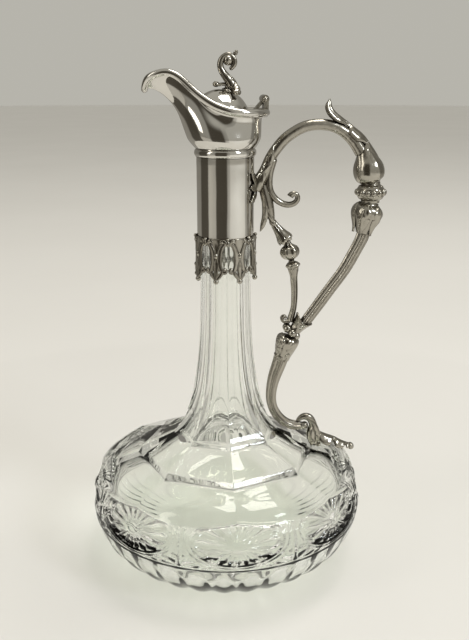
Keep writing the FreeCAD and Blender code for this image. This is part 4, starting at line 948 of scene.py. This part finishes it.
grip = Skin()
tube(grip, [
    (81.2, 203.6, 3.3), (80.2, 199.2, 3.95), (78.0, 193.8, 3.85), (75.1, 188.1, 3.8), (69.7, 178.2, 3.7),
    (62.9, 168.6, 3.65), (55.8, 158.5, 3.6), (50.2, 150.6, 3.5), (46.6, 145.6, 3.4),
], 140, count=80, ends=(0, 0), section=fluted(8, 0.2))
cast("fluted_grip", grip, "grip_stem")


def cuff_skin():
    """Cup under the grip, its rim dipping on the -Y and the +Y side under a thin wire."""
    base = np.array([41.0, 0.0, 141.6])
    axis = unit(np.array([0.62, 0.0, 0.78]))
    profile = smooth([
        (3.4, -3.4), (3.6, 0.0), (3.9, 2.6), (4.6, 5.4), (5.3, 8.2), (5.6, 10.0), (5.2, 9.8), (4.5, 8.0),
        (4.1, 5.6),
    ], 48)
    radius, height = profile[:, :1], profile[:, 1:]
    around = np.linspace(0, 2 * math.pi, 96, endpoint=False)
    spoke = unit(np.cross(ACROSS, axis)) * np.cos(around)[:, None] + ACROSS * np.sin(around)[:, None]
    dip = 1 - 0.3 * np.abs(np.sin(around)) ** 1.4 * ease(1.0, 9.0, height)
    fold = radius - 0.35 * np.abs(np.sin(2 * around)) ** 3 * ease(0.0, 3.0, height)
    rows = base + spoke[None] * fold[..., None] + axis * (height * dip)[..., None]
    rim_row = rows[int(np.argmax(height))]
    skin = Skin().grid(rows, ends=(True, True))
    return sweep(skin, np.vstack([rim_row, rim_row[:1]]), 0.5, count=12, ends=(0, 0))


cast("cuff_of_petals", cuff_skin(), "junction_cuff")

BEADS_CENTRE = np.array([39.2, 0.0, 141.2])
beads_side = np.cross(unit(np.array([0.66, 0.0, 0.75])), ACROSS)
beads = Skin()
for bead in range(6):
    bearing = 2 * math.pi * (bead + 0.5) / 6
    spoke = ACROSS * math.sin(bearing) + beads_side * math.cos(bearing)
    ball(beads, BEADS_CENTRE + spoke * 4.0, 2.45)
tube(beads, [
    (37.0, 147.4, 1.5), (35.2, 147.6, 1.4), (33.9, 148.6, 1.3), (33.6, 150.2, 1.15), (34.8, 150.9, 1.0),
    (35.6, 150.1, 0.8),
], 40, count=16)
cast("cluster_of_beads", beads, "junction_beads")

CUP_TOP = np.array([37.95, 0.0, 138.45])
CUP_AXIS = unit(np.array([-0.3, 0.0, -0.954]))
cup = lathe(
    Skin(), [(3.4, -0.2), (5.4, 0.4), (6.6, 1.9), (6.75, 3.6), (6.2, 6.6), (5.5, 9.6),
             (4.9, 12.2), (4.5, 14.6)],
    CUP_TOP, CUP_AXIS, count=110, rows=52, relief=lambda angle, share:
    -0.6 * np.abs(np.sin(2.5 * angle + 0.6)) ** 1.6 * np.sin(math.pi * np.clip(share, 0.1, 1)) ** 0.6)
petals(cup, 5, 0.45, CUP_TOP, CUP_AXIS,
       [(4.6, 0.2), (6.6, 2.0), (6.7, 4.6), (6.1, 7.6), (5.3, 10.6), (4.7, 13.2), (4.4, 15.4)],
       [1.2, 2.7, 3.1, 2.7, 2.1, 1.3, 0.2], 0.5, cup=-0.22, rib=0.5, veins=4, depth=0.14, notches=2, bite=0.25,
       rows=44, across=13)
cast("cup_of_leaves", cup, "lower_cup")


# Foot of the handle

foot = Skin()
tube(foot, [
    (33.7, 126.6, 4.75), (32.6, 122.6, 4.5), (29.6, 113.6, 4.0), (27.8, 105.2, 3.5), (27.7, 97.2, 3.3),
    (29.9, 90.2, 3.2), (33.9, 84.8, 3.1), (39.2, 81.2, 3.0), (44.6, 80.0, 2.8), (47.4, 79.9, 2.3),
], 130, count=84, ends=(0, 1), section=fluted(6, 0.27))
cast("fluted_foot_stem", foot, "foot_stem")
cast("foot_bead", ball(Skin(), (48.6, 0, 80.1), 2.35, count=32), "foot_ball")

volute = Skin()
tube(volute, [
    (44.6, 83.6, 1.2), (47.6, 85.8, 1.8), (51.2, 85.2, 2.2), (53.7, 81.6, 2.4), (54.8, 77.2, 2.7),
    (55.8, 72.2, 2.9), (55.4, 68.2, 2.2),
], 80, deep=1.15, count=40, section=creased(0.2, 0.45, 0.16, 0.35))
twin_leaves(
    volute, [(53.6, 1.6, 80.4), (52.9, 2.9, 77.6), (52.6, 3.5, 74.4), (52.8, 3.5, 71.0), (53.0, 2.8, 68.6),
             (52.9, 2.2, 67.6)],
    [0.5, 1.6, 2.1, 2.1, 1.5, 0.4], 0.6, (-0.2, 1, 0.15), cup=-0.2, rib=0.5, rows=44, across=11)
twin_leaves(
    volute, [(52.6, 2.0, 84.0), (54.9, 2.5, 80.6), (56.3, 2.8, 76.4), (57.2, 2.8, 72.2), (57.6, 2.2, 69.4)],
    [0.4, 1.4, 1.9, 1.7, 0.3], 0.55, (0.3, 1, 0.2), cup=-0.2, rib=0.5, rows=40, across=11)
ball(volute, (57.8, 0, 66.9), 1.6, count=18)
cast("foot_volute", volute, "foot_scroll")

foot_leaf = draped(Skin(), [
    (78.6, 66.3, 1.6), (76.2, 67.2, 2.6), (72.0, 69.0, 3.7), (67.9, 71.4, 4.5), (63.4, 73.2, 4.6),
    (60.2, 74.6, 3.6), (57.6, 76.0, 1.6),
], [2.0, 3.2, 4.2, 4.9, 5.2, 4.6, 2.4], ends=(0.16, 0.55), bite=0.6, count=90)
lathe(foot_leaf, [(0.3, -2.3), (1.5, -2.0), (2.0, -0.8), (2.0, 0.8), (1.5, 2.0), (0.3, 2.3)], (78.3, 0, 64.8),
      ACROSS, count=32, rows=20)
cast("foot_acanthus", foot_leaf, "foot_leaf")


# Nodes that keep their own shape

for material, names in (
    (PLASTER, ["plaster_bed"]), (POLISHED, ["lid_dome", "lid_moulding"]),
    (CAST, ["hinge_bracket", "hinge_pin", "lid_knuckle", "finial_screw", "finial_nut"]),
):
    for name in names:
        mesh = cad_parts[name].data
        mesh.materials.clear()
        mesh.materials.append(material)
        mesh.shade_smooth()
        mesh.set_sharp_from_angle(angle=math.radians(30))


# Floor and room

def scenery(name, skin, material):
    """An object round the jug that is no part of it."""
    made = bpy.data.objects.new(name, mesh_of(name, skin, material))
    bpy.context.scene.collection.objects.link(made)
    return made


def floor_look():
    look = Look("floor_look")
    tone = look.ramp(look.noise(3.0), (0.3, (0.70, 0.685, 0.65)), (0.7, (0.72, 0.705, 0.67)))
    look.fill(look.face, Base_Color=tone, Roughness=0.55, Specular_IOR_Level=0.25)
    return look.material


def room_look():
    """Darkness as strong as the shade of the mesh says."""
    look = Look("room_look")
    look.nodes.remove(look.face)
    read = look.add("Attribute")
    read.attribute_name = "shade"
    dark = look.add("Emission", Color=(0.055, 0.047, 0.034))
    look.blend(read.outputs["Fac"], look.add("BsdfTransparent"), dark)
    return look.material


FLOOR_DROP = -0.02
around = np.linspace(0, 2 * math.pi, 96, endpoint=False)
reach = (0.05 + np.linspace(0, 1, 50) ** 2)[:, None] * 9000
disc = np.stack([reach * np.cos(around), reach * np.sin(around), np.full((50, 96), FLOOR_DROP)], 2)
scenery("floor", Skin().grid(disc, ends=(True, False)), floor_look())

# Bearing in degrees and how dark the room is there
ROOM_SHADES = [
    (-167, 0.95), (-163, 0.4), (-134, 0.35), (-129, 0.96), (-90, 0.97), (-85, 0.45), (-78, 0.3), (-74, 0.0),
    (-12, 0.0), (-7, 0.55), (12, 0.6), (20, 0.45), (80, 0.5), (100, 0.6), (150, 0.6), (158, 0.95),
]
ROOM_RADIUS = 420.0


def studio_room():
    """Soft dark screens round the object, which only its reflections show."""
    bearing = np.linspace(-180, 180, 360, endpoint=False)
    heights = np.linspace(1.0, 800.0, 17)[:, None]
    turned = np.radians(bearing)
    rows = np.broadcast_arrays(ROOM_RADIUS * np.cos(turned), ROOM_RADIUS * np.sin(turned), heights)
    room = scenery("room", Skin().grid(np.stack(rows, 2)), room_look())
    places, amounts = zip(*ROOM_SHADES)
    shade = (1 - ease(500.0, 750.0, heights)) * np.interp(bearing, places, amounts, period=360)
    layer = room.data.attributes.new("shade", "FLOAT", "POINT")
    layer.data.foreach_set("value", shade.astype(np.float32).ravel())
    room.visible_camera = False
    room.visible_diffuse = False
    room.visible_transmission = False
    room.visible_shadow = False


studio_room()


# Air, lamps and camera

world = bpy.data.worlds.new("studio")
bpy.context.scene.world = world
world.use_nodes = True
air = world.node_tree
ray = air.nodes.new("ShaderNodeLightPath")
seen = ray.outputs["Is Camera Ray"]
for kind in ("Is Glossy Ray", "Is Transmission Ray"):
    either = air.nodes.new("ShaderNodeMath")
    either.operation = "MAXIMUM"
    air.links.new(seen, either.inputs[0])
    air.links.new(ray.outputs[kind], either.inputs[1])
    seen = either.outputs[0]
tone = air.nodes.new("ShaderNodeMix")
tone.data_type = "RGBA"
tone.inputs[6].default_value = (0.60, 0.585, 0.54, 1.0)
tone.inputs[7].default_value = (0.47, 0.457, 0.41, 1.0)
air.links.new(seen, tone.inputs[0])
air.links.new(tone.outputs[2], air.nodes["Background"].inputs["Color"])


def lamp(name, place, target, size, power, colour):
    data = bpy.data.lights.new(name, "AREA")
    data.shape = "RECTANGLE"
    data.size, data.size_y = size
    data.energy = power
    data.color = colour
    made = bpy.data.objects.new(name, data)
    bpy.context.scene.collection.objects.link(made)
    made.location = place
    made.rotation_euler = (Vector(target) - Vector(place)).to_track_quat("-Z", "Y").to_euler()


lamp("window_right", (1.35, -1.2, 1.35), (0, 0, 0.15), (0.45, 0.55), 15.5, (0.9, 0.95, 1.0))
lamp("overhead", (0.5, 0.2, 2.3), (0, 0, 0), (0.9, 0.9), 21.0, (1.0, 0.97, 0.92))
lamp("window_left", (-1.7, -0.7, 1.0), (0, 0, 0.15), (0.4, 1.4), 7.0, (1.0, 0.96, 0.88))

camera_data = bpy.data.cameras.new("camera")
camera_data.lens = 45.0
camera_data.sensor_width = 36.0
camera_data.clip_start = 0.01
camera = bpy.data.objects.new("camera", camera_data)
bpy.context.scene.collection.objects.link(camera)
camera.location = (-0.0349, -0.4512, 0.2851)
camera.rotation_euler = Vector((0.0847, 0.9541, -0.2874)).to_track_quat("-Z", "Y").to_euler()
bpy.context.scene.camera = camera
bpy.context.scene.view_settings.view_transform = "Standard"
